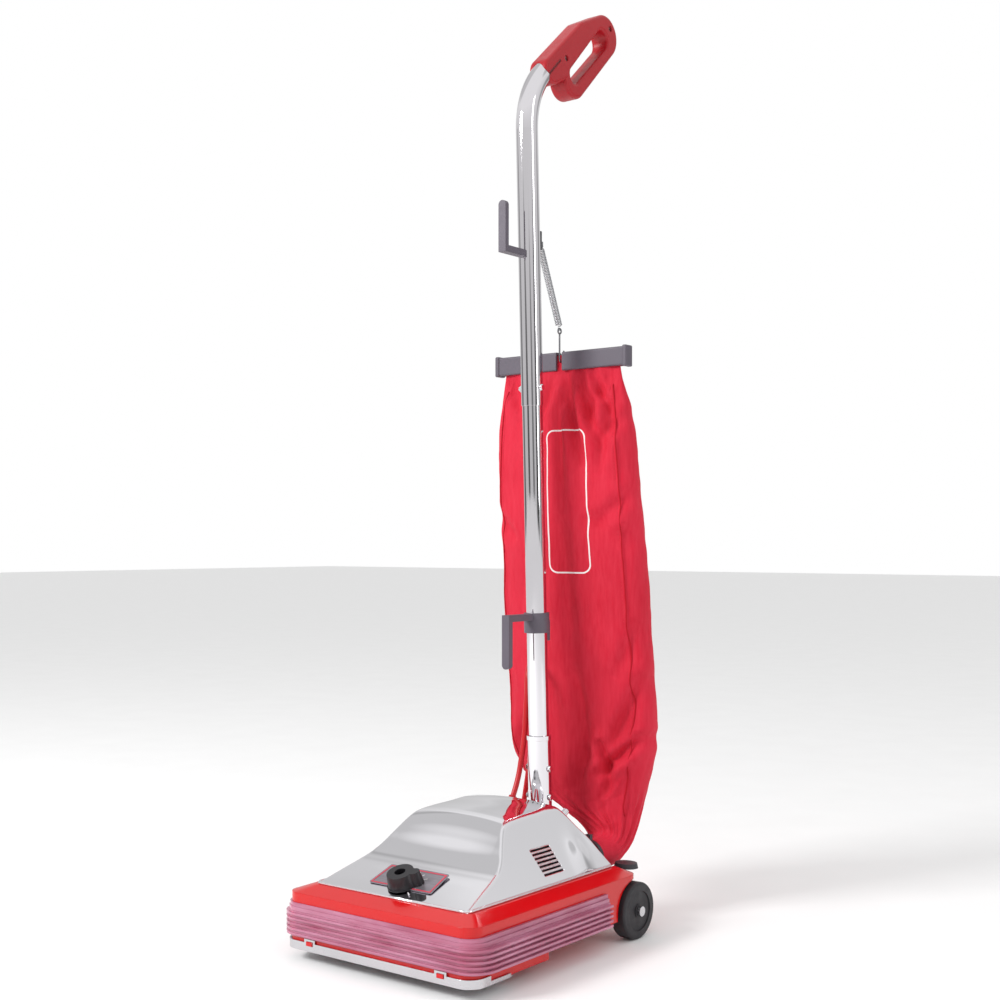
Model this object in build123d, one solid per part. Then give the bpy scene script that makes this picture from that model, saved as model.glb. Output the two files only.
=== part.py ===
from build123d import *
from math import atan2, cos, degrees, pi, radians, sin, sqrt, tan
import os

os.makedirs("parts", exist_ok=True)

# Commercial upright vacuum cleaner, in millimetres. Everything is drawn from the front face of the
# furniture guard (y = 0) with the floor at z = 0, and moved back by half the depth when it is saved.
DEPTH = 512.0
# base
BASE_HALF = 150.0
BASE_FRONT = 5.0
BASE_REAR = 356.0
BASE_CORNER = 20.0
SKIRT_Z = 17.0
FLOOR_Z = 30.0
FLOOR_T = 3.0
SHOULDER_Z = 84.0
DECK_Z = 92.0
WALL = 4.0
CHAMBER_REAR = 76.0
CHAMBER_ROOF = 80.0
CABLE_HOLE = 6.0
SWITCH_X = -50.0
# furniture guard
GUARD_HALF = 162.5
GUARD_REAR = 275.0
GUARD_Z = (31.0, 72.0)
# hood: side profile (y, z) and the slope of its side walls
HOOD_T = 1.5
HOOD_HALF = 126.0
HUMP_HALF = 76.0
HOOD_FRONT = 32.0
APRON_TOP = (120.0, 127.0)
HUMP_FRONT = (172.0, 170.0)
HUMP_REAR = (286.0, 173.0)
HOOD_TAIL = (318.0, 124.0)
HOOD_REAR = 334.0
CROWN = 6.0
APRON_SLOPE = (APRON_TOP[1] - DECK_Z - 1) / (APRON_TOP[0] - HOOD_FRONT)
SIDE_SLOPE = (HOOD_HALF - HUMP_HALF) / (HUMP_FRONT[1] - DECK_Z)
HOOD_SCREW_X = (66.0, -76.0)
# wheels
WHEEL_R = 37.0
WHEEL_Y = 345.0
WHEEL_X = (135.0, 157.0)
AXLE_R = 4.0
FIT = 0.05
# motor line, along Y
SHAFT_Z = 78.0
SHAFT_R = 4.5
FAN_Y = (124.0, 160.0)
FAN_CASE_R = 47.0
FAN_R = 40.0
CORE_Y = (186.0, 238.0)
CORE_R = 42.0
# brush roll, along X
BRUSH_Y = 42.0
BRUSH_Z = 36.0
BRUSH_R = 17.0
BRISTLE_R = 24.0
BRUSH_HALF = 139.0
GROOVE_R = 13.0
PULLEY_Y = 46.0
PULLEY_R = 5.0
BELT_R = 2.0
# exhaust
DUCT_X = 74.0
DUCT_Z = 96.0
DUCT_R = 18.0
SPIGOT_END = 362.0
# handle
PIVOT_Y = 342.4
PIVOT_Z = 95.0
LEAN = 0.0335
SOCKET_R = 16.0
SOCKET_TOP = 255.0
LOWER_R = 14.0
UPPER_R = 15.0
JOIN_Z = 705.0
BEND_Z = 1078.0
BEND_R = 112.0
BEND_ANGLE = 48.0
TUBE_T = 1.4
PEDAL_Y = 349.0
PEDAL_Z = 68.0
GRIP_ROUND = 5.0
GRIP_HALF = 15.0
GRIP_SCREWS = ((382.0, 1192.0), (492.0, 1264.0))
# hook, clip, bag
HOOK_Z = 909.0
LOWER_HOOK_Z = 418.0
CLIP_Y = 391.0
CLIP_Z = (759.0, 785.0)
CLIP_HALF = 108.0
BAG_T = 1.6
# bag sections: height, centre y, half width, half depth
BAG_BODY = (
    (781.0, 391.0, 96.0, 1.4),
    (752.0, 391.0, 99.0, 2.4),
    (700.0, 397.0, 110.0, 25.0),
    (600.0, 406.0, 118.0, 38.0),
    (450.0, 424.0, 123.0, 45.0),
    (300.0, 441.0, 124.0, 46.0),
    (215.0, 446.0, 120.0, 48.0),
    (165.0, 444.0, 100.0, 44.0),
)
BAG_NECK = (DUCT_X, 378.0, DUCT_Z)
# cord
CORD_R = 3.75
RELIEF_BASE = (-25.0, 297.0, 147.0)
RELIEF_TIP = (-25.0, 311.0, 172.0)
COIL_CENTRE = (-262.0, 512.0)
COIL_R = (38.5, 91.5)
COIL_H = 45.5


def tube_y(z):
    """Y of the handle tube's centre line at height z."""
    return PIVOT_Y - LEAN * (z - PIVOT_Z)


def on_tube(z, x=0.0, y=0.0):
    """A point given across the tube at height z."""
    return (x, tube_y(z) + y, z)


def save(name, shape):
    """Write one sub-part in the shared frame."""
    moved = Pos(0, -DEPTH / 2, 0) * shape
    moved.label = name
    export_step(moved, f"parts/{name}.step")


def block(x, y, z):
    """A box from three (low, high) pairs."""
    size = [high - low for low, high in (x, y, z)]
    middle = [(high + low) / 2 for low, high in (x, y, z)]
    return Pos(*middle) * Box(*size)


def rod(start, end, radius):
    """A round bar between two points."""
    axis = Vector(*end) - Vector(*start)
    plane = Plane(origin=start, z_dir=axis.normalized())
    return plane * Cylinder(radius, axis.length, align=(Align.CENTER, Align.CENTER, Align.MIN))


def cone(start, end, radius_start, radius_end):
    """A tapered round bar between two points."""
    axis = Vector(*end) - Vector(*start)
    plane = Plane(origin=start, z_dir=axis.normalized())
    cone = Cone(radius_start, radius_end, axis.length, align=(Align.CENTER, Align.CENTER, Align.MIN))
    return plane * cone


def along_x(x0, x1, y, z, radius):
    return rod((x0, y, z), (x1, y, z), radius)


def along_y(y0, y1, x, z, radius):
    return rod((x, y0, z), (x, y1, z), radius)


def slab(half, front, rear, corner, z0, z1):
    """An upright prism with a rounded rectangular outline."""
    outline = Pos(0, (front + rear) / 2) * RectangleRounded(2 * half, rear - front, corner)
    return Pos(0, 0, z0) * extrude(outline, z1 - z0)


def mirror_x(shape):
    return mirror(shape, Plane.YZ)


def both_sides(shape):
    return shape + mirror_x(shape)


def united(shapes):
    total = shapes[0]
    for shape in shapes[1:]:
        total = total + shape
    return total


def apron_z(y):
    """Height of the hood's sloping front panel."""
    return DECK_Z + 1 + APRON_SLOPE * (y - HOOD_FRONT)


# ---------------------------------------------------------------- base

def base_housing():
    """Die-cast body: skirt, brush chamber in front, open motor bay behind, fenders and handle lugs."""
    lower = slab(BASE_HALF, BASE_FRONT, BASE_REAR, BASE_CORNER, SKIRT_Z, SHOULDER_Z)
    front, rear = BASE_FRONT + 24, BASE_REAR - 14
    deck = Pos(0, (front + rear) / 2, DECK_Z) * RectangleRounded(2 * HOOD_HALF + 4, rear - front, 14)
    middle = (BASE_FRONT + BASE_REAR) / 2
    outline = RectangleRounded(2 * BASE_HALF, BASE_REAR - BASE_FRONT, BASE_CORNER)
    foot = Pos(0, middle, SHOULDER_Z) * outline
    body = lower + loft([foot, deck])
    # underside: the skirt steps up behind the nozzle
    body -= block((-200, 200), (152, 400), (0, FLOOR_Z))
    step = Plane.YZ * Polyline((120, 0), (120, SKIRT_Z), (152, FLOOR_Z), (153, 0), close=True)
    body -= Pos(-200, 0, 0) * extrude(make_face(step), 400)
    # brush chamber, open below
    inner = BASE_HALF - WALL
    body -= slab(inner, BASE_FRONT + WALL, CHAMBER_REAR, 14, 0, CHAMBER_ROOF)
    body -= block((-inner, inner), (40, CHAMBER_REAR), (0, CHAMBER_ROOF))
    body -= block((-22, 22), (34, CHAMBER_REAR), (70, DECK_Z - 3))
    body -= block((-108, -30), (40, 70), (SHOULDER_Z, 100))
    body -= block((30, 108), (40, 70), (SHOULDER_Z, 100))
    # motor bay, open above
    bay = CHAMBER_REAR + WALL
    side = BASE_HALF - 5
    body -= block((-side, side), (bay, 300), (FLOOR_Z + FLOOR_T, CHAMBER_ROOF))
    body -= block((-120, 120), (bay, 300), (CHAMBER_ROOF - 1, 100))
    body -= block((-120, 120), (299, BASE_REAR - 5), (FLOOR_Z + FLOOR_T, 100))
    body -= block((-inner, inner), (bay, 152), (0, FLOOR_Z))
    # rear wall is low between the fenders, so that the handle can lie back
    body -= block((-120, 120), (340, 400), (60, 120))
    # wheel wells
    for x in ((130, 170), (-170, -130)):
        body -= along_x(x[0], x[1], WHEEL_Y, WHEEL_R, WHEEL_R + 4)
        body -= block(x, (WHEEL_Y - WHEEL_R - 4, 420), (0, WHEEL_R))
    # suction opening from the brush chamber and the slots for the rollers
    body -= block((-40, 40), (CHAMBER_REAR - 1, bay + 1), (50, DECK_Z - 4))
    for x in ((46, 78), (-78, -46)):
        body -= block(x, (bay + 2, 118), (0, 40))
    # axle blocks, handle lugs, latch posts, front tabs, motor saddle
    for side in (1, -1):
        low, high = sorted((side * 108, side * 122))
        body += block((low, high), (333, BASE_REAR - 4), (FLOOR_Z, 52))
        low, high = sorted((side * 20, side * 27))
        body += block((low, high), (PIVOT_Y - 13, BASE_REAR - 1), (FLOOR_Z, PIVOT_Z))
        body += along_x(low, high, PIVOT_Y, PIVOT_Z, 13)
        low, high = sorted((side * 92, side * 108))
        body += block((low, high), (CHAMBER_REAR, 92), (SKIRT_Z, FLOOR_Z + 1))
        low, high = sorted((side * 100, side * 110))
        body += block((low, high), (1.2, BASE_FRONT + 1), (22.5, 27.5))
        low, high = sorted((side * 14, side * 26))
        body += block((low, high), (190, 234), (FLOOR_Z + 1, 40))
    body -= along_y(185, 240, 0, SHAFT_Z, CORE_R)
    body -= along_x(-130, 130, WHEEL_Y, WHEEL_R, AXLE_R)
    body -= along_x(-40, 40, PIVOT_Y, PIVOT_Z, 5)
    for x in (-100, 100):
        body -= rod((x, 84, 10), (x, 84, 28), 2.2)
    for x in (-BASE_HALF + 1, BASE_HALF - 1):
        body -= along_x(x - 6, x + 6, BRUSH_Y, BRUSH_Z, 4.0)
    # ears for the pedal shaft
    for ear in ((100, 104.5), (118.5, 122)):
        body += block(ear, (343, 355), (FLOOR_Z, 74))
    body -= along_y(FAN_Y[0] - 3, FAN_Y[1] + 3, 0, SHAFT_Z, FAN_CASE_R)
    body -= along_x(-130, 130, WHEEL_Y, WHEEL_R, AXLE_R)
    return body - along_x(-30, 122, PEDAL_Y, PEDAL_Z, 3 + FIT)


def furniture_guard():
    """Soft clear bumper round the front and the sides, with five ribs."""
    low, high = GUARD_Z
    reach = GUARD_HALF - BASE_HALF
    bands = [(low, 62, 7.5), (62, 67, 6.0), (67, high, 4.0)]
    starts = (low + 1.2, low + 7.4, low + 13.6, low + 19.8, low + 26.0)
    bands += [(start, start + 2.8, reach) for start in starts]
    rings = []
    for z0, z1, out in bands:
        forward = BASE_FRONT * out / reach
        rings.append(slab(BASE_HALF + out, BASE_FRONT - forward, BASE_REAR, BASE_CORNER + out, z0, z1))
    guard = united(rings)
    guard -= slab(BASE_HALF, BASE_FRONT, BASE_REAR + 40, BASE_CORNER, low - 1, high + 1)
    return guard - block((-200, 200), (GUARD_REAR, 500), (0, 200))


def bottom_plate():
    """Pressed steel nozzle plate with an upturned front, a wide mouth and two hooks."""
    front, rear = 2.2, 92.0
    t = 1.6
    tray = slab(BASE_HALF + 2.6, front, rear, BASE_CORNER + 2, SKIRT_Z - t, 26)
    tray -= slab(BASE_HALF + 0.6, front + 2.2, rear + 30, BASE_CORNER, SKIRT_Z, 30)
    tray -= block((-200, 200), (36, 200), (SKIRT_Z + 3, 40))
    tray -= block((-200, 200), (74, 200), (SKIRT_Z, 40))
    plate = tray - block((-136, 136), (17, 67), (10, 20))
    for x in ((44, 80), (-80, -44)):
        plate -= block(x, (82, 130), (0, 40))
    for x in (-105, 105):
        loop = block((x - 9, x + 9), (front, front + 1.6), (SKIRT_Z, 30.4))
        plate += loop
        plate -= block((x - 5.3, x + 5.3), (front - 2, front + 3), (22.2, 27.8))
    for x in (-100, 100):
        plate -= rod((x, 84, 10), (x, 84, 20), 3.2)
    return plate


def plate_latch(x):
    """Turn latch that holds the rear edge of the bottom plate."""
    blade = Pos(x, 84, 14.2) * extrude(SlotOverall(32, 11), 1.0)
    grip = block((x - 12, x - 9), (80, 88), (12.6, 14.3))
    stem = rod((x, 84, 12.8), (x, 84, 26), 2.15)
    return blade + grip + stem + rod((x, 84, 12.8), (x, 84, 14.3), 4)


def rear_wheel():
    """Moulded wheel with a raised tyre band and a recessed hub face."""
    x0, x1 = WHEEL_X
    wheel = along_x(x0, x1, WHEEL_Y, WHEEL_R, WHEEL_R)
    wheel = fillet(wheel.edges().filter_by(GeomType.CIRCLE), 3.5)
    wheel -= along_x(x1 - 1.6, x1 + 1, WHEEL_Y, WHEEL_R, 26)
    wheel += along_x(x1 - 4, x1 - 0.2, WHEEL_Y, WHEEL_R, 9)
    dish = along_x(x0 - 1, x0 + 5, WHEEL_Y, WHEEL_R, 27)
    wheel -= dish - along_x(x0 - 2, x0 + 6, WHEEL_Y, WHEEL_R, 9)
    wheel += along_x(131.5, x0 + 3, WHEEL_Y, WHEEL_R, 8)
    return wheel - along_x(100, 200, WHEEL_Y, WHEEL_R, AXLE_R + FIT)


def rear_axle():
    return along_x(-160.5, 160.5, WHEEL_Y, WHEEL_R, AXLE_R)


def axle_cap():
    """Push-on cap that keeps a wheel on the axle."""
    cap = along_x(157.3, 161.6, WHEEL_Y, WHEEL_R, 6.5)
    return cap - along_x(150, 160.5, WHEEL_Y, WHEEL_R, AXLE_R)


def height_carriage():
    """Steel cradle that carries the front rollers, with the post that the knob works on."""
    plate = block((-84, 84), (88, 112), (34.5, 36.5))
    plate -= block((44.5, 79.5), (80, 120), (30, 40)) + block((-79.5, -44.5), (80, 120), (30, 40))
    plate += block((-84, 84), (88, 90), (34.5, 36.5)) + block((-84, 84), (110, 112), (34.5, 36.5))
    for x in (47.5, 75):
        for side in (1, -1):
            low, high = sorted((side * x, side * (x + 2)))
            plate += block((low, high), (93, 107), (8, 36.5))
            plate += block((low, high), (88, 112), (32, 36.5))
    post = block((-94, -84), (97, 103), (34.5, 96)) + block((-94, -90), (72, 103), (94, 96))
    post += block((-94, -14), (72, 76), (94, 96))
    plate += block((-86, -82), (94, 106), (34.5, 36.5)) + post
    return plate - along_x(-90, 90, 100, 15, 2.5)


def roller(x):
    wheel = along_x(x - 11.5, x + 11.5, 100, 15, 15)
    wheel = fillet(wheel.edges().filter_by(GeomType.CIRCLE), 2)
    return wheel - along_x(x - 20, x + 20, 100, 15, 2.5 + FIT)


def roller_axle():
    return along_x(-79, 79, 100, 15, 2.5)


# ---------------------------------------------------------------- hood and its fittings

def hood_shape(inset):
    """The hood's outer form moved inwards by the inset, with its bottom left open."""
    drop = inset * 1.2
    profile = Polyline(
        (HOOD_FRONT + inset, 60),
        (HOOD_FRONT + inset, DECK_Z + 1 - 0.2 * inset),
        (APRON_TOP[0] + 0.3 * inset, APRON_TOP[1] - inset),
        (HUMP_FRONT[0] + 0.6 * inset, HUMP_FRONT[1] - inset),
        (HUMP_REAR[0] - 0.6 * inset, HUMP_REAR[1] - inset + CROWN),
        (HOOD_TAIL[0] - drop, HOOD_TAIL[1]),
        (HOOD_REAR - drop, DECK_Z + 8),
        (HOOD_REAR - drop, 60),
        close=True,
    )
    sides = extrude(Plane.YZ * make_face(profile), 140, both=True)
    half, hump = HOOD_HALF - drop, HUMP_HALF - drop
    top = HUMP_FRONT[1] - inset
    section = make_face(
        Polyline((-hump, top), (-half, DECK_Z), (-half, 60), (half, 60), (half, DECK_Z), (hump, top))
        + ThreePointArc((hump, top), (0, top + CROWN), (-hump, top))
    )
    return sides & extrude(Plane.XZ * section, -400)


def hood():
    """Chrome-plated pressed steel hood with louvres on its right side."""
    shell = hood_shape(0) - block((-200, 200), (0, 500), (0, DECK_Z)) - hood_shape(HOOD_T)
    # rolled lip round the foot
    lip = slab(HOOD_HALF + 2, HOOD_FRONT - 2, HOOD_REAR, 10, DECK_Z, DECK_Z + 2)
    lip -= slab(HOOD_HALF - HOOD_T * 1.2, HOOD_FRONT + HOOD_T, HOOD_REAR + 20, 8, DECK_Z - 1, DECK_Z + 3)
    shell += lip
    # louvres: seven slots, each one lower and further back than the last
    for row in range(7):
        z = 133.5 - 4.7 * row
        y = 188 + 0.9 * row
        x = HUMP_HALF + (HUMP_FRONT[1] - z) * SIDE_SLOPE
        shell -= block((x - 12, x + 12), (y, y + 41), (z - 1.1, z + 1.1))
    # way out for the duct, room for the handle lugs, holes for the knob, cord and screws
    shell -= along_y(290, 380, DUCT_X, DUCT_Z, DUCT_R + 1)
    shell -= block((-33, 33), (300, 360), (60, 118))
    shell -= knob_axis(-14, 14, 5.2)
    shell -= rod(RELIEF_BASE, RELIEF_TIP, CABLE_HOLE)
    shell -= slope_plane(SWITCH_X) * Box(25.2, 17.2, 12)
    for x in HOOD_SCREW_X:
        shell -= slope_plane(x, 158) * Cylinder(2.6, 12)
    return shell


def slope_plane(x, z=151.5):
    """Plane on the hood's rear slope at one height, with its local Z pointing out of the hood."""
    top = HUMP_REAR[1] + CROWN
    slope = (HOOD_TAIL[0] - HUMP_REAR[0]) / (top - HOOD_TAIL[1])
    origin = (x, HUMP_REAR[0] + (top - z) * slope, z)
    return Plane(origin=origin, x_dir=(-1, 0, 0), z_dir=(0, 1, slope))


def knob_axis(low, high, radius, y=58.0, x=0.0):
    """A round bar square to the sloping front panel, between two heights over it."""
    tilt = atan2(APRON_SLOPE, 1)
    normal = Vector(0, -sin(tilt), cos(tilt))
    foot = Vector(x, y, apron_z(y))
    start, end = foot + normal * low, foot + normal * high
    return rod(tuple(start), tuple(end), radius)


def apron_plane(x, y, lift):
    """Plane parallel to the front panel, lifted off it."""
    tilt = atan2(APRON_SLOPE, 1)
    normal = Vector(0, -sin(tilt), cos(tilt))
    origin = Vector(x, y, apron_z(y)) + normal * lift
    return Plane(origin=tuple(origin), x_dir=(1, 0, 0), z_dir=tuple(normal))


def height_knob():
    """Height knob: skirted body with a pointer lobe, and the lifting cam on its stub shaft."""
    plane = apron_plane(0, 58, 1.4)
    outline = Circle(19) + Pos(12, 4) * Rotation(0, 0, 18) * SlotOverall(30, 17)
    body = extrude(outline, 17, taper=7)
    knob = body - Pos(0, 0, 12) * Cylinder(7, 12)
    knob += Pos(0, 0, 0.6) * Cylinder(20, 1.2)
    cam = apron_plane(2, 58, -6.5) * extrude(Circle(10), 3)
    return plane * knob + knob_axis(-6.5, 4, 4.9) + cam


def nameplate():
    """Plain setting plate round the knob."""
    outline = make_face(Polyline((-50, -21), (50, -21), (47, 21), (-47, 21), close=True))
    plate = extrude(fillet(outline.vertices(), 3), 1.0)
    return apron_plane(0, 70, 0.05) * plate - knob_axis(-14, 20, 5.2)


def hood_screw(x):
    """Thumb screw through the hood's rear slope."""
    head = Pos(0, 0, 5.6) * Cylinder(4.6, 11)
    head = fillet(head.edges().sort_by(Axis.Z)[-1], 1.2)
    return slope_plane(x, 158) * (head + Pos(0, 0, -3) * Cylinder(2.5, 8))


def strain_relief():
    """Rubber sleeve where the cord leaves the hood."""
    foot, tip = Vector(*RELIEF_BASE), Vector(*RELIEF_TIP)
    axis = (tip - foot).normalized()
    sleeve = cone(tuple(foot + axis * 3), tuple(tip), 7.5, 5.5)
    sleeve -= slope_plane(RELIEF_TIP[0]) * Pos(0, 0, -19.95) * Box(60, 60, 40)
    return sleeve + rod(tuple(foot - axis * 4), tuple(foot + axis * 14), CABLE_HOLE - 0.1)


# ---------------------------------------------------------------- brush roll and belt

def brush_roll():
    """Steel brush cylinder with the belt groove in its middle."""
    shell = along_x(-BRUSH_HALF, BRUSH_HALF, BRUSH_Y, BRUSH_Z, BRUSH_R)
    belt_room = along_x(-5.5, 5.5, BRUSH_Y, BRUSH_Z, BRUSH_R + 5)
    shell -= belt_room - along_x(-6, 6, BRUSH_Y, BRUSH_Z, GROOVE_R)
    shell -= along_x(-200, 200, BRUSH_Y, BRUSH_Z, 3.0)
    for x0, x1, turn in ((-134, -10, 0), (10, 134, 90)):
        for angle in (turn, turn + 180):
            shell -= bristle_block(x0, x1, angle, BRUSH_R - 4, BRUSH_R + 2, 3.0)
    return shell


def bristle_block(x0, x1, angle, inner, outer, half):
    """A strip that lies along the roll at one angle."""
    strip = block((x0, x1), (inner, outer), (-half, half))
    return Pos(0, BRUSH_Y, BRUSH_Z) * Rotation(angle, 0, 0) * strip


def bristle_strips():
    strips = []
    for x0, x1, turn in ((-134, -10, 0), (10, 134, 90)):
        for angle in (turn, turn + 180):
            strips.append(bristle_block(x0, x1, angle, BRUSH_R - 4, BRUSH_R + 1, 3.0)
                          + bristle_block(x0 + 1, x1 - 1, angle, BRUSH_R, BRISTLE_R, 1.6))
    return strips


def brush_spindle():
    return along_x(-143.5, 143.5, BRUSH_Y, BRUSH_Z, 3.0)


def brush_end_cap(side):
    """Moulded end cap with the bearing, held in the side wall."""
    low, high = sorted((side * 140, side * 145.8))
    cap = along_x(low, high, BRUSH_Y, BRUSH_Z, 14)
    low, high = sorted((side * 145, side * 149.6))
    cap += along_x(low, high, BRUSH_Y, BRUSH_Z, 4.0)
    low, high = sorted((side * 139.5, side * 144))
    return cap - along_x(low, high, BRUSH_Y, BRUSH_Z, 3.0 + FIT)


def circle_point(centre, radius, angle, flat):
    """A point on a circle square to X or to Y."""
    across, up = radius * cos(radians(angle)), radius * sin(radians(angle))
    if flat == "x":
        return Vector(centre[0], centre[1] + across, centre[2] + up)
    return Vector(centre[0] + across, centre[1], centre[2] + up)


def arc_bar(centre, radius, start, end, flat, bar):
    """A round bar bent along an arc."""
    ends = [circle_point(centre, radius, angle, flat) for angle in (start, (start + end) / 2, end)]
    path = ThreePointArc(*[tuple(p) for p in ends])
    return sweep(Plane(origin=path @ 0, z_dir=path % 0) * Circle(bar), path=path)


def drive_belt():
    """Round belt with a quarter turn, from the motor pulley to the groove of the roll."""
    small, large = PULLEY_R + BELT_R + 0.5, GROOVE_R + BELT_R + 0.5
    reach = SHAFT_Z - BRUSH_Z
    half_top = degrees(atan2(sqrt(reach**2 - small**2), small))
    half_low = degrees(atan2(sqrt(reach**2 - large**2), large))
    top, low = (0, PULLEY_Y, SHAFT_Z), (0, BRUSH_Y, BRUSH_Z)
    belt = arc_bar(top, small, half_top - 90, 270 - half_top, "y", BELT_R)
    belt += arc_bar(low, large, 90 + half_low, 450 - half_low, "x", BELT_R)
    strands = (
        (circle_point(top, small, half_top - 90, "y"), circle_point(low, large, 90 + half_low, "x")),
        (circle_point(top, small, 270 - half_top, "y"), circle_point(low, large, 450 - half_low, "x")),
    )
    for upper, lower in strands:
        belt += rod(tuple(upper), tuple(lower), BELT_R)
        belt += Pos(*upper) * Sphere(BELT_R) + Pos(*lower) * Sphere(BELT_R)
    return belt


# ---------------------------------------------------------------- motor and fan

def fan_cover():
    """Front cover of the fan case with the throat from the brush chamber."""
    start, end = CHAMBER_REAR + WALL, FAN_Y[0]
    mouth = Plane(origin=(0, start, 69), x_dir=(1, 0, 0), z_dir=(0, 1, 0))
    eye = Plane(origin=(0, end, SHAFT_Z), x_dir=(1, 0, 0), z_dir=(0, 1, 0))
    outside = loft([mouth * RectangleRounded(80, 38, 6), eye * Circle(29)])
    inside = loft([mouth * RectangleRounded(75, 33, 5), eye * Circle(26.5)])
    plate = along_y(end, end + 3, 0, SHAFT_Z, FAN_CASE_R) - along_y(end - 1, end + 4, 0, SHAFT_Z, 26.5)
    return plate + (outside - inside)


def fan_case():
    """Fan case with its outlet on the right and the seat of the front bearing."""
    front, rear = FAN_Y[0] + 3, FAN_Y[1]
    middle = (FAN_Y[0] + FAN_Y[1]) / 2
    case = along_y(front, rear, 0, SHAFT_Z, FAN_CASE_R) + along_x(20, 52, middle, DUCT_Z, 15)
    case += along_y(rear - 1, rear + 8, 0, SHAFT_Z, 12)
    case -= along_y(front - 1, rear - 3, 0, SHAFT_Z, FAN_CASE_R - 2.5)
    case -= along_x(10, 60, middle, DUCT_Z, 13)
    case += block((-10, 10), (rear - 8, rear), (FLOOR_Z + FLOOR_T, SHAFT_Z - FAN_CASE_R + 4)) & block(
        (-10, 10), (rear - 3, rear), (0, 60))
    case -= along_y(rear - 10, rear + 1, 0, SHAFT_Z, SHAFT_R + 1)
    return case - along_y(rear, rear + 9, 0, SHAFT_Z, 8)


def fan():
    """Radial fan: hub, back plate and eight curved-back vanes."""
    front, back = FAN_Y[0] + 8, FAN_Y[0] + 26
    wheel = along_y(front, back + 4, 0, SHAFT_Z, 11) + along_y(back - 2, back, 0, SHAFT_Z, FAN_R)
    for vane in range(8):
        blade = Pos(24.5, 0, 0) * Rotation(0, 18, 0) * block((-14, 14), (front + 2, back - 1), (-1, 1))
        wheel += Pos(0, 0, SHAFT_Z) * Rotation(0, 45 * vane, 0) * blade
    return wheel - along_y(front - 1, back + 5, 0, SHAFT_Z, SHAFT_R)


def armature_shaft():
    """Motor shaft with the belt pulley turned on its front end."""
    pulley = along_y(40, 53, 0, SHAFT_Z, 7)
    pulley -= along_y(PULLEY_Y - 3.6, PULLEY_Y + 3.6, 0, SHAFT_Z, 20)
    return along_y(40, 60, 0, SHAFT_Z, PULLEY_R) + along_y(50, 292, 0, SHAFT_Z, SHAFT_R) + pulley


def armature_core():
    """Slotted armature stack with the winding heads at both ends."""
    start, end = CORE_Y
    core = along_y(start + 2, end - 2, 0, SHAFT_Z, 22.3)
    for slot in range(12):
        groove = Rotation(0, 30 * slot, 0) * block((18.5, 24), (start, end), (-1.4, 1.4))
        core -= Pos(0, 0, SHAFT_Z) * groove
    core += along_y(start - 7, end + 8, 0, SHAFT_Z, 18)
    return core - along_y(start - 8, end + 9, 0, SHAFT_Z, SHAFT_R)


def commutator():
    """Copper commutator with its segments cut by slots."""
    ring = along_y(250, 264, 0, SHAFT_Z, 11)
    for slot in range(16):
        ring -= Pos(0, 0, SHAFT_Z) * Rotation(0, 22.5 * slot, 0) * block((10, 12), (249, 265), (-0.3, 0.3))
    return ring - along_y(249, 265, 0, SHAFT_Z, SHAFT_R)


def shaft_bearing(y0):
    ring = along_y(y0, y0 + 7, 0, SHAFT_Z, 8)
    return ring - along_y(y0 - 1, y0 + 8, 0, SHAFT_Z, SHAFT_R + FIT)


def field_core():
    """Laminated field stack with flats at its sides."""
    start, end = CORE_Y
    stack = along_y(start, end, 0, SHAFT_Z, CORE_R) & block((-39, 39), (start, end), (0, 200))
    return stack - along_y(start - 1, end + 1, 0, SHAFT_Z, 23)


def field_coil(y0):
    ring = along_y(y0, y0 + 9, 0, SHAFT_Z, 34) - along_y(y0 - 1, y0 + 10, 0, SHAFT_Z, 25)
    return fillet(ring.edges().filter_by(GeomType.CIRCLE), 2.5)


def rear_bracket():
    """Rear end bracket: two arms on the field stack, the bearing seat and a foot on the base floor."""
    start, plate = CORE_Y[1], 281
    bracket = along_y(plate, plate + 3, 0, SHAFT_Z, 38) + along_y(plate, plate + 12, 0, SHAFT_Z, 12)
    for x in ((34.5, 38.5), (-38.5, -34.5)):
        bracket += block(x, (start, plate + 2), (SHAFT_Z - 8, SHAFT_Z + 8))
    bracket += block((-14, 14), (plate - 12, plate + 3), (FLOOR_Z + FLOOR_T, SHAFT_Z - 34))
    bracket -= along_y(plate - 1, plate + 4, 0, SHAFT_Z, SHAFT_R + 1)
    return bracket - along_y(284, 294, 0, SHAFT_Z, 8)


def carbon_brush(side):
    low, high = sorted((side * 11.3, side * 26))
    return block((low, high), (254, 260), (SHAFT_Z - 3, SHAFT_Z + 3))


def duct_path():
    """Centre line of the duct: out of the fan case to the right, then straight back."""
    start, bend = (FAN_Y[0] + FAN_Y[1]) / 2, DUCT_X - 50
    knee = (50 + bend * sin(radians(45)), start + bend * (1 - cos(radians(45))), DUCT_Z)
    path = Line((48, start, DUCT_Z), (50, start, DUCT_Z))
    path += ThreePointArc((50, start, DUCT_Z), knee, (DUCT_X, start + bend, DUCT_Z))
    return path + Line((DUCT_X, start + bend, DUCT_Z), (DUCT_X, SPIGOT_END, DUCT_Z))


def exhaust_duct():
    """Exhaust duct from the fan case to the bag spigot at the rear."""
    path = duct_path()
    section = Plane(origin=path @ 0, z_dir=path % 0)
    duct = sweep(section * Circle(DUCT_R), path=path) + along_y(355, 359, DUCT_X, DUCT_Z, DUCT_R + 1)
    return duct - sweep(section * Circle(15.2), path=path)


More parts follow.
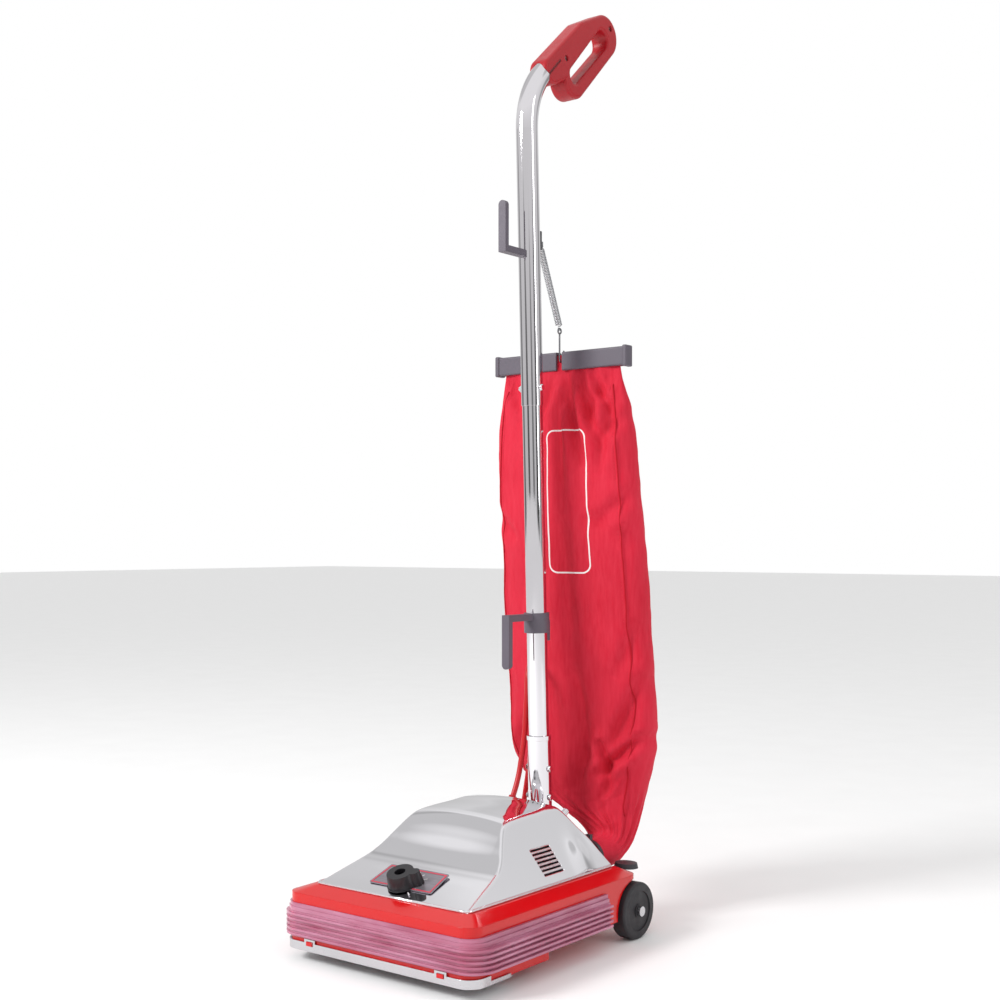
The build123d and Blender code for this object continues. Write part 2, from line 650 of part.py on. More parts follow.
def bag_clamp():
    """Spring band that holds the neck of the bag on the spigot."""
    band = along_y(346.5, 352.5, DUCT_X, DUCT_Z, 23)
    band += block((DUCT_X - 4, DUCT_X + 4), (346.5, 352.5), (DUCT_Z + 20, DUCT_Z + 30))
    band -= along_y(340, 360, DUCT_X, DUCT_Z, 21.4)
    return band - block((DUCT_X - 1, DUCT_X + 1), (340, 360), (DUCT_Z + 20, DUCT_Z + 40))


# ---------------------------------------------------------------- handle

def tube_bar(z0, z1, radius):
    """A round bar along the handle's centre line between two heights."""
    return rod(on_tube(z0), on_tube(z1), radius)


def handle_socket():
    """Lower handle socket with the pivot eye."""
    socket = tube_bar(118, SOCKET_TOP, SOCKET_R) + tube_bar(SOCKET_TOP - 6, SOCKET_TOP, SOCKET_R + 1)
    socket += tube_bar(104, 122, SOCKET_R - 2) & block((-18, 18), (300, 400), (0, 300))
    socket += along_x(-18, 18, PIVOT_Y, PIVOT_Z, 13)
    socket -= tube_bar(150, SOCKET_TOP + 1, LOWER_R + 0.05)
    socket -= along_x(-20, 20, PIVOT_Y, PIVOT_Z, 5 + FIT)
    for z in (210, 171):
        socket -= along_x(-30, 30, tube_y(z), z, 2.6)
    return socket


def pivot_pin():
    pin = along_x(-31, 31, PIVOT_Y, PIVOT_Z, 5) + along_x(28.2, 31, PIVOT_Y, PIVOT_Z, 8)
    return pin + along_x(-31, -28.2, PIVOT_Y, PIVOT_Z, 8)


def lower_tube():
    tube = tube_bar(152, JOIN_Z + 42, LOWER_R) - tube_bar(151, JOIN_Z + 43, LOWER_R - TUBE_T)
    for z in (171, 210, 729):
        tube -= along_x(-30, 30, tube_y(z), z, 2.6)
    return tube


def bend_path():
    """Centre line of the upper tube: straight, bent back, and a short straight into the grip."""
    lean = atan2(-LEAN, 1)
    start, knee = Vector(*on_tube(JOIN_Z)), Vector(*on_tube(BEND_Z))
    side = Vector(0, cos(lean), -sin(lean))
    centre = knee + side * BEND_R
    points = []
    for part in (0.5, 1.0):
        angle = lean + radians(BEND_ANGLE * part)
        points.append(centre + Vector(0, -cos(angle), sin(angle)) * BEND_R)
    final = lean + radians(BEND_ANGLE)
    end = points[1] + Vector(0, sin(final), cos(final)) * 34
    arc = ThreePointArc(tuple(knee), tuple(points[0]), tuple(points[1]))
    return Line(tuple(start), tuple(knee)) + arc + Line(tuple(points[1]), tuple(end))


def bent_bar(radius):
    """A round bar along the upper tube's centre line."""
    path = bend_path()
    return sweep(Plane(origin=path @ 0, z_dir=path % 0) * Circle(radius), path=path)


def upper_tube():
    """Bent upper tube."""
    tube = bent_bar(UPPER_R) - bent_bar(LOWER_R + 0.05)
    tube -= along_x(-30, 30, tube_y(729), 729, 2.6)
    tube -= along_y(280, 350, 0, HOOK_Z, 4 + FIT)
    return tube - along_y(300, 350, 0, 936, 2.0)


def tube_bolt(z):
    """Round-headed bolt across the handle tube."""
    y, reach = tube_y(z), 16.2 if z < 300 else 15.2
    head = along_x(reach, reach + 3.2, y, z, 4.6)
    head = fillet(head.edges().sort_by(Axis.X)[-1], 1.6)
    return head + along_x(-reach - 6, reach + 0.5, y, z, 2.5)


def tube_nut(z):
    y, reach = tube_y(z), 16.2 if z < 300 else 15.2
    nut = Pos(-reach, y, z) * Rotation(0, -90, 0) * extrude(RegularPolygon(4.6, 6), 4)
    return nut - along_x(-reach - 10, 0, y, z, 2.5)


def rounded_hull(circles):
    """Outline wrapped round circles given as (y, z, radius)."""
    edges = [(Pos(y, z) * Circle(radius)).edge() for y, z, radius in circles]
    return make_hull(edges)


def grip_solid():
    """Closed D-shaped grip, before it is split along its seam."""
    loop = rounded_hull(((482, 1251, 30), (440, 1228, 32), (405, 1167, 25)))
    neck = rounded_hull(((352, 1167, 18.5), (440, 1228, 32)))
    opening = rounded_hull(((473, 1242, 14), (404, 1174, 11)))
    body = extrude(Plane.YZ * (loop + neck - opening), GRIP_HALF, both=True)
    rims = body.faces().filter_by(Plane.YZ).edges()
    return fillet(rims, GRIP_ROUND)


def grip_half(side):
    """One half of the grip, bored for the tube and the screws."""
    half = grip_solid() & block((0, 40), (300, 600), (1000, 1400))
    half -= bent_bar(UPPER_R)
    if side < 0:
        half = mirror_x(half)
    for y, z in GRIP_SCREWS:
        half -= along_x(-9, 20, y, z, 1.9) + along_x(10, 20, y, z, 4.2)
    return half


def grip_screw(y, z):
    head = along_x(10, 12.5, y, z, 4.0) - block((10.9, 14), (y - 4, y + 4), (z - 0.6, z + 0.6))
    return head + along_x(-8.5, 10.5, y, z, 1.8)


# ---------------------------------------------------------------- hooks, spring and bag clip

def upper_hook():
    """Quick-release cord hook: it turns on its stud in the tube."""
    finger = block((-6, 6), (-61, -54), (0, 58)) + block((-6, 6), (-61, -15.6), (-4.5, 4.5))
    hook = Pos(0, tube_y(HOOK_Z), HOOK_Z) * finger
    tip = Pos(0, tube_y(HOOK_Z) - 57.5, HOOK_Z + 58) * Rotation(90, 0, 0) * Cylinder(6, 7)
    return hook + tip + along_y(tube_y(HOOK_Z) - 20, tube_y(HOOK_Z) + 20, 0, HOOK_Z, 4)


def spring_bracket():
    """Hanger riveted to the back of the tube for the bag spring."""
    y = tube_y(930)
    plate = block((-7, 7), (y + 8, y + 20), (919, 944)) - tube_bar(900, 960, UPPER_R + 0.05)
    peg = rod((0, y + 18, 926), (0, y + 30, 926), 2.0) + rod((0, y + 29, 924.6), (0, y + 29, 932), 2.0)
    rivet = rod((0, y + 10, 936), (0, y + 22, 936), 1.9)
    return plate + peg + rivet


def spring_line():
    y = tube_y(930)
    return Vector(0, y + 25.5, 925.4), Vector(0, CLIP_Y - 5, 818.5)


def bag_spring():
    """Extension spring: close-wound body with a loop at each end."""
    top, low = spring_line()
    axis = (low - top).normalized()
    loop = 4.2
    start, end = top + axis * (loop - 0.4), low - axis * (loop - 0.4)
    body = rod(tuple(start), tuple(end), 5.0)
    body -= rod(tuple(start + axis * 1.6), tuple(end - axis * 1.6), 3.8)
    for centre in (top, low):
        across = Plane(origin=tuple(centre), x_dir=(1, 0, 0), z_dir=(0, axis.Z, -axis.Y))
        body += across * Torus(loop - 0.8, 0.8)
    return body


def bag_hook():
    """Wire hook from the spring through the eyelet of the bag."""
    near, far, low = CLIP_Y - 5, CLIP_Y + 5, 776
    path = Line((0, near, 811.6), (0, near, low))
    path += ThreePointArc((0, near, low), (0, CLIP_Y, low - 5), (0, far, low))
    path += Line((0, far, low), (0, far, 788))
    wire = sweep(Plane(origin=path @ 0, z_dir=path % 0) * Circle(1.2), path=path)
    return wire + Pos(0, near, 814.4) * Rotation(0, 90, 0) * Torus(3.6, 1.2)


def clip_half(side):
    """One half of the top clip: a channel that slides over the folded edge of the bag."""
    low, high = CLIP_Z
    bar = block((5, CLIP_HALF), (CLIP_Y - 7, CLIP_Y + 7), (low, high))
    bar = fillet(bar.edges().filter_by(Axis.X), 2.5)
    cap = block((CLIP_HALF - 3, CLIP_HALF + 4), (CLIP_Y - 8.5, CLIP_Y + 8.5), (low - 1.5, high + 1.5))
    bar += fillet(cap.edges(), 2.0)
    bar -= block((-1, CLIP_HALF - 3), (CLIP_Y - 3.2, CLIP_Y + 3.2), (low - 1, high - 2.6))
    bar -= block((CLIP_HALF - 26, CLIP_HALF - 8), (CLIP_Y - 3, CLIP_Y + 3), (high - 1.2, high + 1))
    return bar if side > 0 else mirror_x(bar)


def lower_hook():
    """Lower cord hook with its clamp round the tube and the clip for the plug end of the cord."""
    z = LOWER_HOOK_Z
    y = tube_y(z)
    clamp = tube_bar(z - 22, z + 5, LOWER_R + 3.4)
    clamp += block((-6, 6), (y - 70, y - 12), (z - 5, z + 4))
    clamp += block((-6, 6), (y - 70, y - 62), (z - 62, z + 4))
    clamp += Pos(0, y - 66, z - 62) * Rotation(90, 0, 0) * Cylinder(6, 8)
    clamp += block((-5.5, 5.5), (y + 12, y + 24), (z - 34, z - 6))
    clamp -= rod((0, y + 21.5, z - 40), (0, y + 21.5, z), 3.4)
    return clamp - tube_bar(z - 60, z + 20, LOWER_R + 0.05)


# ---------------------------------------------------------------- bag

def bag_loft(sections):
    """A body through elliptical sections given as x, y, z, half width and half depth."""
    planes = [Plane(origin=(x, y, z), x_dir=(1, 0, 0), z_dir=(0, 0, 1)) for x, y, z, _, _ in sections]
    rings = [plane * Ellipse(half, depth) for plane, (_, _, _, half, depth) in zip(planes, sections)]
    return loft(rings)


def outer_bag():
    """Cloth bag: a hollow skin with a neck on the spigot and an eyelet at the top."""
    upper = [(0, y, z, half, depth) for z, y, half, depth in BAG_BODY]
    lower = [(38, 430, 135, 66, 38), (66, 408, 116, 36, 25)]
    bag = bag_loft(upper + lower) + Pos(DUCT_X, 392, 106) * Sphere(23)
    bag += along_y(345, 392, DUCT_X, DUCT_Z, 20.8)
    inside = [(x, y, z, half - 2 * BAG_T, depth - BAG_T) for x, y, z, half, depth in upper[2:]]
    bag -= bag_loft(inside)
    bag -= along_y(340, 372, DUCT_X, DUCT_Z, 19.6)
    return bag - along_y(CLIP_Y - 12, CLIP_Y + 12, 0, 771, 3.0)


def paper_bag():
    """Disposable filter bag inside the cloth bag."""
    sections = [(0, y, z, half - 9, depth - 7) for z, y, half, depth in BAG_BODY[2:7]]
    inside = [(x, y, z, half - BAG_T, depth - BAG_T) for x, y, z, half, depth in sections]
    return bag_loft(sections) - bag_loft(inside)


# ---------------------------------------------------------------- foot controls

def release_pedal():
    """Foot pedal on its cross shaft, with the pawl that stops the handle."""
    hub = along_x(105, 118, PEDAL_Y, PEDAL_Z, 6.5)
    arm = rod((111.5, PEDAL_Y + 3, PEDAL_Z + 2), (112.5, 372, 84), 4.2)
    pad = Pos(115, 378, 82.5) * extrude(Ellipse(17, 14.5), 6.5, taper=12)
    shaft = along_x(-26, 121, PEDAL_Y, PEDAL_Z, 3)
    pawl = block((-9, 9), (PEDAL_Y - 2, PEDAL_Y + 2), (PEDAL_Z - 2, 79.8))
    return hub + arm + pad + shaft + pawl


def switch_body():
    """Power switch case in the hood's rear slope."""
    case = Pos(0, 0, -13) * extrude(RectangleRounded(25, 17, 2), 14)
    case += Pos(0, 0, 0.05) * extrude(RectangleRounded(29, 21, 3), 2.2)
    case -= Pos(0, 0, -10) * extrude(Rectangle(20.6, 12.6), 20)
    return slope_plane(SWITCH_X) * case


def switch_rocker():
    """Rocker of the power switch, which tips on its long axis."""
    profile = Polyline((-5, -4), (5, -4), (5.6, 3.6), (0, 1.6), (-5.6, 5.2), close=True)
    rocker = extrude(Plane.YZ * make_face(profile), 10, both=True)
    return slope_plane(SWITCH_X) * rocker


# ---------------------------------------------------------------- cord

CORD_ROUTE = (
    RELIEF_TIP, (-25, 322.5, 192), (-26, 332, 222), (-25, 338.5, 254), (-26, 342, 284),
    (-25.5, 344.4, 311), (-25.6, 344.6, 333), (-29.3, 353, 345.9), (-35.7, 366.8, 350.8),
    (-42.1, 380.6, 345.9), (-45.9, 389, 333), (-47, 391, 310), (-47, 390, 274),
    (-48.5, 386, 232), (-53, 383, 190), (-61, 384, 148), (-74, 389, 108), (-93, 399, 70),
    (-116, 412, 38), (-143, 425, 15), (-170, 429, 5.6), (-196, 427.5, 4.0), (-220, 425, 3.9),
    (-238, 424.2, 3.9),
)


def cord_run(points, radius):
    """Round cord along straight runs joined by arcs as large as the runs allow."""
    vectors = [Vector(*p) for p in points]
    radii = []
    for before, here, after in zip(vectors, vectors[1:], vectors[2:]):
        turn = radians((here - before).get_angle(after - here))
        radii.append(0.45 * min((here - before).length, (after - here).length) / tan(turn / 2))
    path = FilletPolyline(*points, radius=radii)
    section = Plane(origin=path @ 0, z_dir=path % 0) * Circle(radius)
    run = sweep(section, path=path)
    solid = pi * radius**2 * path.length
    print(f"cord run {path.length:.1f} long, volume {run.volume:.0f} against {solid:.0f}")
    print("radii", [round(r) for r in radii])
    return run


TAIL_ROUTE = (
    (-352, 500, 38.5), (-357, 519, 33.5), (-358.5, 540, 25), (-358.5, 560, 14), (-357, 578, 6.2),
    (-355, 594, 5.2), (-353.5, 608, 7.5),
)


def cord_plug():
    """Three-pin mains plug at the end of the cord."""
    start, before = Vector(*TAIL_ROUTE[-1]), Vector(*TAIL_ROUTE[-2])
    way = Vector(start.X - before.X, start.Y - before.Y, 0).normalized()
    plane = Plane(origin=(start.X, start.Y, 12.2), x_dir=(way.Y, -way.X, 0), z_dir=tuple(way))
    body = plane * extrude(RectangleRounded(26, 24, 7), 30)
    sleeve = cone(tuple(start), tuple(Vector(start.X, start.Y, 10) + way * 6), 5.0, 8.5)
    pins = plane * Pos(-6.4, 3, 30) * extrude(Rectangle(1.5, 6.4), 18)
    pins += plane * Pos(6.4, 3, 30) * extrude(Rectangle(1.5, 6.4), 18)
    pins += plane * Pos(0, -7, 30) * extrude(Circle(2.4), 21)
    return body + sleeve + pins


def cord_coil():
    """Closed form of the coiled cord."""
    inner, outer = COIL_R
    ring = Cylinder(outer, COIL_H, align=(Align.CENTER, Align.CENTER, Align.MIN))
    ring -= Cylinder(inner, COIL_H, align=(Align.CENTER, Align.CENTER, Align.MIN))
    ring = fillet(ring.edges().filter_by(GeomType.CIRCLE), 12)
    return Pos(*COIL_CENTRE) * ring


# ---------------------------------------------------------------- all sub-parts

def group(shapes):
    """Identical pieces that share one file."""
    return Compound(children=list(shapes))


PARTS = {
    "base_housing": base_housing,
    "furniture_guard": furniture_guard,
    "bottom_plate": bottom_plate,
    "plate_latch_left": lambda: plate_latch(-100),
    "plate_latch_right": lambda: plate_latch(100),
    "rear_wheel_right": rear_wheel,
    "rear_wheel_left": lambda: mirror_x(rear_wheel()),
    "rear_axle": rear_axle,
    "axle_caps": lambda: group([axle_cap(), mirror_x(axle_cap())]),
    "height_carriage": height_carriage,
    "front_rollers": lambda: group([roller(62), roller(-62)]),
    "roller_axle": roller_axle,
    "hood": hood,
    "height_knob": height_knob,
    "nameplate": nameplate,
    "hood_screws": lambda: group([hood_screw(x) for x in HOOD_SCREW_X]),
    "strain_relief": strain_relief,
    "brush_roll": brush_roll,
    "bristle_strips": lambda: group(bristle_strips()),
    "brush_spindle": brush_spindle,
    "brush_end_caps": lambda: group([brush_end_cap(1), brush_end_cap(-1)]),
    "drive_belt": drive_belt,
    "fan_cover": fan_cover,
    "fan_case": fan_case,
    "suction_fan": fan,
    "armature_shaft": armature_shaft,
    "armature_core": armature_core,
    "commutator": commutator,
    "shaft_bearings": lambda: group([shaft_bearing(160), shaft_bearing(284)]),
    "field_core": field_core,
    "field_coils": lambda: group([field_coil(CORE_Y[0] - 9), field_coil(CORE_Y[1])]),
    "rear_bracket": rear_bracket,
    "carbon_brushes": lambda: group([carbon_brush(1), carbon_brush(-1)]),
    "exhaust_duct": exhaust_duct,
    "bag_clamp": bag_clamp,
    "handle_socket": handle_socket,
    "pivot_pin": pivot_pin,
    "lower_tube": lower_tube,
    "upper_tube": upper_tube,
    "tube_bolts": lambda: group([tube_bolt(z) for z in (171, 210, 729)]),
    "tube_nuts": lambda: group([tube_nut(z) for z in (171, 210, 729)]),
    "grip_left": lambda: grip_half(-1),
    "grip_right": lambda: grip_half(1),
    "grip_screws": lambda: group([grip_screw(y, z) for y, z in GRIP_SCREWS]),
    "upper_cord_hook": upper_hook,
    "spring_bracket": spring_bracket,
    "bag_spring": bag_spring,
    "bag_hook": bag_hook,
    "bag_clip_right": lambda: clip_half(1),
    "bag_clip_left": lambda: clip_half(-1),
    "lower_cord_hook": lower_hook,
    "outer_bag": outer_bag,
    "paper_bag": paper_bag,
    "release_pedal": release_pedal,
    "switch_body": switch_body,
    "switch_rocker": switch_rocker,
    "cord_lead": lambda: cord_run(CORD_ROUTE, CORD_R),
    "cord_coil": cord_coil,
    "cord_tail": lambda: cord_run(TAIL_ROUTE, CORD_R),
    "cord_plug": cord_plug,
}

for name, make in PARTS.items():
    save(name, make())
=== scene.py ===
from math import cos, pi, radians, sin, sqrt, tau

import bmesh
import bpy
import numpy as np
from mathutils import Matrix, Vector, noise


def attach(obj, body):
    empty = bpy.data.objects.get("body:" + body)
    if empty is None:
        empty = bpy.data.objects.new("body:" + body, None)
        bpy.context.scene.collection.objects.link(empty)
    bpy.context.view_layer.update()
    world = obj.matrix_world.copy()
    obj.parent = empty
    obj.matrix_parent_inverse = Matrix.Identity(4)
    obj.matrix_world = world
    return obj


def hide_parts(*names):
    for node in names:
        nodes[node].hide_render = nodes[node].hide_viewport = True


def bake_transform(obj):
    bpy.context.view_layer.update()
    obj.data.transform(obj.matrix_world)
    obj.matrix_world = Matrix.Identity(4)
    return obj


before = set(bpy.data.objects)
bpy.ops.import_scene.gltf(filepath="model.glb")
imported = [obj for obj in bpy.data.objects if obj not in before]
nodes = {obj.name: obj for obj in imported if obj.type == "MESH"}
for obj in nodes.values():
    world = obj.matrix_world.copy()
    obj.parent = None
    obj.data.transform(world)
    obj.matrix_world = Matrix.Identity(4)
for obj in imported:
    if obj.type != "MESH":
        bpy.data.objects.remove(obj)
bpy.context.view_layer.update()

MM = 0.001
HALF_DEPTH = 256.0  # the frame's y = 0 lies this far behind the front of the bumper, in mm


def place(x, y, z):
    """A point given in mm from the front of the bumper, in the frame's metres."""
    return Vector((x * MM, (y - HALF_DEPTH) * MM, z * MM))


# ---------------------------------------------------------------- camera, floor and light

def set_camera():
    data = bpy.data.cameras.new("camera")
    data.lens, data.sensor_width, data.shift_y = 51.2, 36.0, 0.0414
    data.clip_end = 50
    camera = bpy.data.objects.new("camera", data)
    camera.location = (1.150, -1.4947, 0.5204)
    camera.rotation_euler = (radians(90), 0, radians(37.69))
    bpy.context.collection.objects.link(camera)
    bpy.context.scene.camera = camera


def add_area(name, location, target, size, power):
    data = bpy.data.lights.new(name, "AREA")
    data.shape, data.energy = "RECTANGLE", power
    data.size, data.size_y = size
    light = bpy.data.objects.new(name, data)
    light.location = location
    aim = Vector(target) - Vector(location)
    light.rotation_euler = aim.to_track_quat("-Z", "Y").to_euler()
    bpy.context.collection.objects.link(light)


# dark flags round the object that chrome reflects: azimuth of the middle, half width and strength
FLAGS = ((-172, 12, 0.75), (-104, 8, 0.85), (-52, 7, 0.7), (-10, 9, 0.92), (24, 5, 0.5), (62, 14, 0.8))
# grey cards: azimuth, elevation, half width and strength
CARDS = ((178, 54, 17, 0.32), (74, 36, 13, 0.12), (158, 34, 9, 0.24), (120, 22, 8, 0.15), (40, 46, 9, 0.35))
WALL_LIGHT = 0.56
TOP_LIGHT = 0.90
BACKDROP = 1.0  # what the camera sees behind the object


def set_world():
    """Soft white light from above, a paler wall with dark flags round the object, and a white backdrop."""
    world = bpy.data.worlds.new("studio")
    world.use_nodes = True
    tree = world.node_tree

    def math(operation, a, b=0.0):
        node = tree.nodes.new("ShaderNodeMath")
        node.operation = operation
        for socket, value in zip(node.inputs, (a, b)):
            if isinstance(value, bpy.types.NodeSocket):
                tree.links.new(value, socket)
            else:
                socket.default_value = value
        return node.outputs[0]

    direction = tree.nodes.new("ShaderNodeTexCoord").outputs["Generated"]
    split = tree.nodes.new("ShaderNodeSeparateXYZ")
    tree.links.new(direction, split.inputs[0])
    x, y, z = split.outputs
    # 1 on the horizon, 0 high up
    level = math("SUBTRACT", 1.0, math("MINIMUM", math("MULTIPLY", math("ABSOLUTE", z), 1.7), 1.0))
    light = math("ADD", TOP_LIGHT, math("MULTIPLY", level, WALL_LIGHT - TOP_LIGHT))
    for middle, half, strength in FLAGS:
        mx, my = cos(radians(middle)), sin(radians(middle))
        along = math("ADD", math("MULTIPLY", x, mx), math("MULTIPLY", y, my))
        near = math("DIVIDE", math("SUBTRACT", along, cos(radians(half * 1.5))), 1 - cos(radians(half)))
        inside = math("MINIMUM", math("MAXIMUM", near, 0.0), 1.0)
        shadow = math("MULTIPLY", math("MULTIPLY", inside, strength), level)
        light = math("MULTIPLY", light, math("SUBTRACT", 1.0, shadow))
    for azimuth, elevation, half, strength in CARDS:
        a, e = radians(azimuth), radians(elevation)
        along = math("ADD", math("MULTIPLY", x, cos(a) * cos(e)), math("MULTIPLY", y, sin(a) * cos(e)))
        along = math("ADD", along, math("MULTIPLY", z, sin(e)))
        near = math("DIVIDE", math("SUBTRACT", along, cos(radians(half * 1.5))), 1 - cos(radians(half)))
        inside = math("MINIMUM", math("MAXIMUM", near, 0.0), 1.0)
        light = math("MULTIPLY", light, math("SUBTRACT", 1.0, math("MULTIPLY", inside, strength)))
    seen = tree.nodes.new("ShaderNodeLightPath").outputs["Is Camera Ray"]
    unseen = math("MULTIPLY", light, math("SUBTRACT", 1.0, seen))
    strength = math("ADD", unseen, math("MULTIPLY", seen, BACKDROP))
    tree.links.new(strength, tree.nodes["Background"].inputs["Strength"])
    tree.nodes["Background"].inputs["Color"].default_value = (1, 1, 1, 1)
    bpy.context.scene.world = world


def set_studio():
    set_world()
    bpy.context.scene.view_settings.view_transform = "Standard"
    add_area("key", (-1.3, -2.5, 2.2), (0, 0, 0.5), (1.0, 1.0), 70)
    add_area("side", (2.8, 0.3, 1.6), (0, 0.1, 0.5), (0.5, 2.2), 12)
    bpy.ops.mesh.primitive_plane_add(size=40, location=(0, 0, 0))
    floor = bpy.context.object
    floor.name = "floor"
    white = surface("floor_paint", (0.95, 0.95, 0.95), rough=0.7, spots=0.01, gloss=0.1)
    floor.data.materials.append(white)


# ---------------------------------------------------------------- materials

class Graph:
    """A small helper that wires up one material."""

    def __init__(self, name):
        self.material = bpy.data.materials.new(name)
        self.material.use_nodes = True
        self.tree = self.material.node_tree
        self.shader = self.tree.nodes["Principled BSDF"]
        self.coord = self.node("ShaderNodeTexCoord").outputs["Object"]

    def node(self, kind, **settings):
        node = self.tree.nodes.new(kind)
        for key, value in settings.items():
            if key in node.inputs:
                self.feed(node.inputs[key], value)
            else:
                setattr(node, key, value)
        return node

    def feed(self, socket, value):
        if isinstance(value, bpy.types.NodeSocket):
            self.tree.links.new(value, socket)
        else:
            socket.default_value = value

    def set(self, name, value):
        socket = self.shader.inputs[name]
        if socket.type == "RGBA" and isinstance(value, tuple):
            value = (*value, 1)
        self.feed(socket, value)

    def math(self, operation, a, b=0.0, c=0.0):
        node = self.node("ShaderNodeMath", operation=operation)
        for socket, value in zip(node.inputs, (a, b, c)):
            self.feed(socket, value)
        return node.outputs[0]

    def noise(self, scale, detail=3.0, stretch=(1, 1, 1), rough=0.5):
        mapping = self.node("ShaderNodeMapping", Vector=self.coord, Scale=stretch)
        texture = self.node("ShaderNodeTexNoise", Vector=mapping.outputs[0], Scale=scale, Detail=detail,
                            Roughness=rough)
        return texture.outputs["Fac"]

    def remap(self, value, low, high, start=0.3, end=0.7):
        """The value, which runs from start to end, spread from low to high."""
        node = self.node("ShaderNodeMapRange")
        keys = ("Value", "From Min", "From Max", "To Min", "To Max")
        for key, number in zip(keys, (value, start, end, low, high)):
            self.feed(node.inputs[key], number)
        return node.outputs[0]

    def mix(self, fac, a, b):
        node = self.node("ShaderNodeMix", data_type="RGBA")
        self.feed(node.inputs["Factor"], fac)
        for socket, value in ((node.inputs[6], a), (node.inputs[7], b)):
            self.feed(socket, (*value, 1) if isinstance(value, tuple) and len(value) == 3 else value)
        return node.outputs[2]

    def bump(self, height, distance, strength=1.0, normal=None):
        node = self.node("ShaderNodeBump", Height=height, Distance=distance, Strength=strength)
        if normal is not None:
            self.feed(node.inputs["Normal"], normal)
        return node.outputs[0]

    def rounded(self, radius):
        return self.node("ShaderNodeBevel", samples=4, Radius=radius).outputs[0]


def shade(colour, factor):
    return tuple(min(1.0, c * factor) for c in colour)


def surface(name, colour, metal=0.0, rough=0.4, spots=0.08, grain=0.0, grain_scale=900, edge=0.0, wave=0.0,
            coat=0.0, gloss=0.5, smear=(1, 1, 1)):
    """Painted, moulded or plated surface with uneven colour and gloss, fine grain and softened edges."""
    g = Graph(name)
    cloud = g.noise(9, 4)
    g.set("Base Color", g.mix(g.remap(cloud, 0, 1), shade(colour, 1 - spots), shade(colour, 1 + spots)))
    g.set("Metallic", metal)
    g.set("Specular IOR Level", gloss)
    scuff = g.noise(60, 6, smear, 0.65)
    g.set("Roughness", g.remap(scuff, rough * 0.8, rough * 1.25))
    normal = g.rounded(edge) if edge else None
    if wave:
        normal = g.bump(g.noise(7, 1), wave, 1.0, normal)
    if grain:
        normal = g.bump(g.noise(grain_scale, 2, smear), grain, 0.6, normal)
    if normal is not None:
        g.set("Normal", normal)
    if coat:
        g.set("Coat Weight", coat)
        g.set("Coat Roughness", 0.08)
    return g.material


# printed panel on the bag's front, in m: middle, half sizes, corner radius, half line width and rear limit
PANEL_X, PANEL_Z = 0.0235, 0.5755
PANEL_HALF, PANEL_TALL = 0.0315, 0.0985
PANEL_CORNER, PANEL_LINE, PANEL_BEHIND = 0.012, 0.0011, 0.150


def cloth_red():
    """Coated woven bag cloth with the plain outline of a printed panel."""
    g = Graph("bag_cloth")
    split = g.node("ShaderNodeSeparateXYZ", Vector=g.coord)
    x, y, z = split.outputs
    # threads: warp up the bag, weft round it
    warp = g.math("SINE", g.math("MULTIPLY", x, tau / 0.0011))
    weft = g.math("SINE", g.math("MULTIPLY", z, tau / 0.0010))
    weave = g.math("MULTIPLY", warp, weft)
    slub = g.noise(240, 3, (1, 1, 0.12))
    cloud = g.noise(6, 3)
    red = g.mix(g.remap(cloud, 0, 1), (0.50, 0.008, 0.024), (0.66, 0.018, 0.046))
    red = g.mix(g.remap(weave, 0, 0.35, -1, 1), red, (0.74, 0.030, 0.060))
    red = g.mix(g.remap(slub, 0, 0.25), red, (0.80, 0.07, 0.11))
    # panel outline: distance to a rounded rectangle on the front face
    px = g.math("SUBTRACT", g.math("ABSOLUTE", g.math("SUBTRACT", x, PANEL_X)), PANEL_HALF - PANEL_CORNER)
    pz = g.math("SUBTRACT", g.math("ABSOLUTE", g.math("SUBTRACT", z, PANEL_Z)), PANEL_TALL - PANEL_CORNER)
    squares = [g.math("POWER", g.math("MAXIMUM", part, 0), 2) for part in (px, pz)]
    reach = g.math("SQRT", g.math("ADD", *squares))
    inner = g.math("MINIMUM", g.math("MAXIMUM", px, pz), 0)
    edge = g.math("ABSOLUTE", g.math("SUBTRACT", g.math("ADD", reach, inner), PANEL_CORNER))
    line = g.math("MULTIPLY", g.math("LESS_THAN", edge, PANEL_LINE), g.math("LESS_THAN", y, PANEL_BEHIND))
    red = g.mix(line, red, (0.85, 0.80, 0.80))
    g.set("Base Color", red)
    g.set("Roughness", g.remap(slub, 0.55, 0.75))
    g.set("Specular IOR Level", 0.12)
    g.set("Sheen Weight", 0.10)
    g.set("Sheen Roughness", 0.4)
    g.set("Sheen Tint", (1.0, 0.35, 0.4))
    wrinkle = g.bump(g.noise(38, 4, (1, 1, 0.6)), 0.0012, 0.5)
    g.set("Normal", g.bump(weave, 0.00016, 0.55, wrinkle))
    return g.material


def vinyl():
    """Clear soft vinyl bumper, pink over the red base."""
    g = Graph("clear_vinyl")
    cloud = g.noise(14, 3, (1, 1, 6))
    g.set("Base Color", g.mix(g.remap(cloud, 0, 1), (0.58, 0.13, 0.24), (0.80, 0.32, 0.48)))
    g.set("Roughness", g.remap(g.noise(80, 4), 0.10, 0.24))
    g.set("Transmission Weight", 0.35)
    g.set("IOR", 1.3)
    g.set("Coat Weight", 0.6)
    g.set("Coat Roughness", 0.05)
    g.set("Normal", g.rounded(0.0008))
    return g.material


def plate_print():
    """Brushed metal of the setting plate."""
    g = Graph("setting_plate")
    brush = g.noise(700, 2, (0.05, 1, 1))
    g.set("Base Color", g.mix(g.remap(brush, 0, 1), (0.26, 0.24, 0.27), (0.36, 0.33, 0.37)))
    g.set("Metallic", 0.7)
    g.set("Roughness", g.remap(brush, 0.3, 0.42))
    return g.material


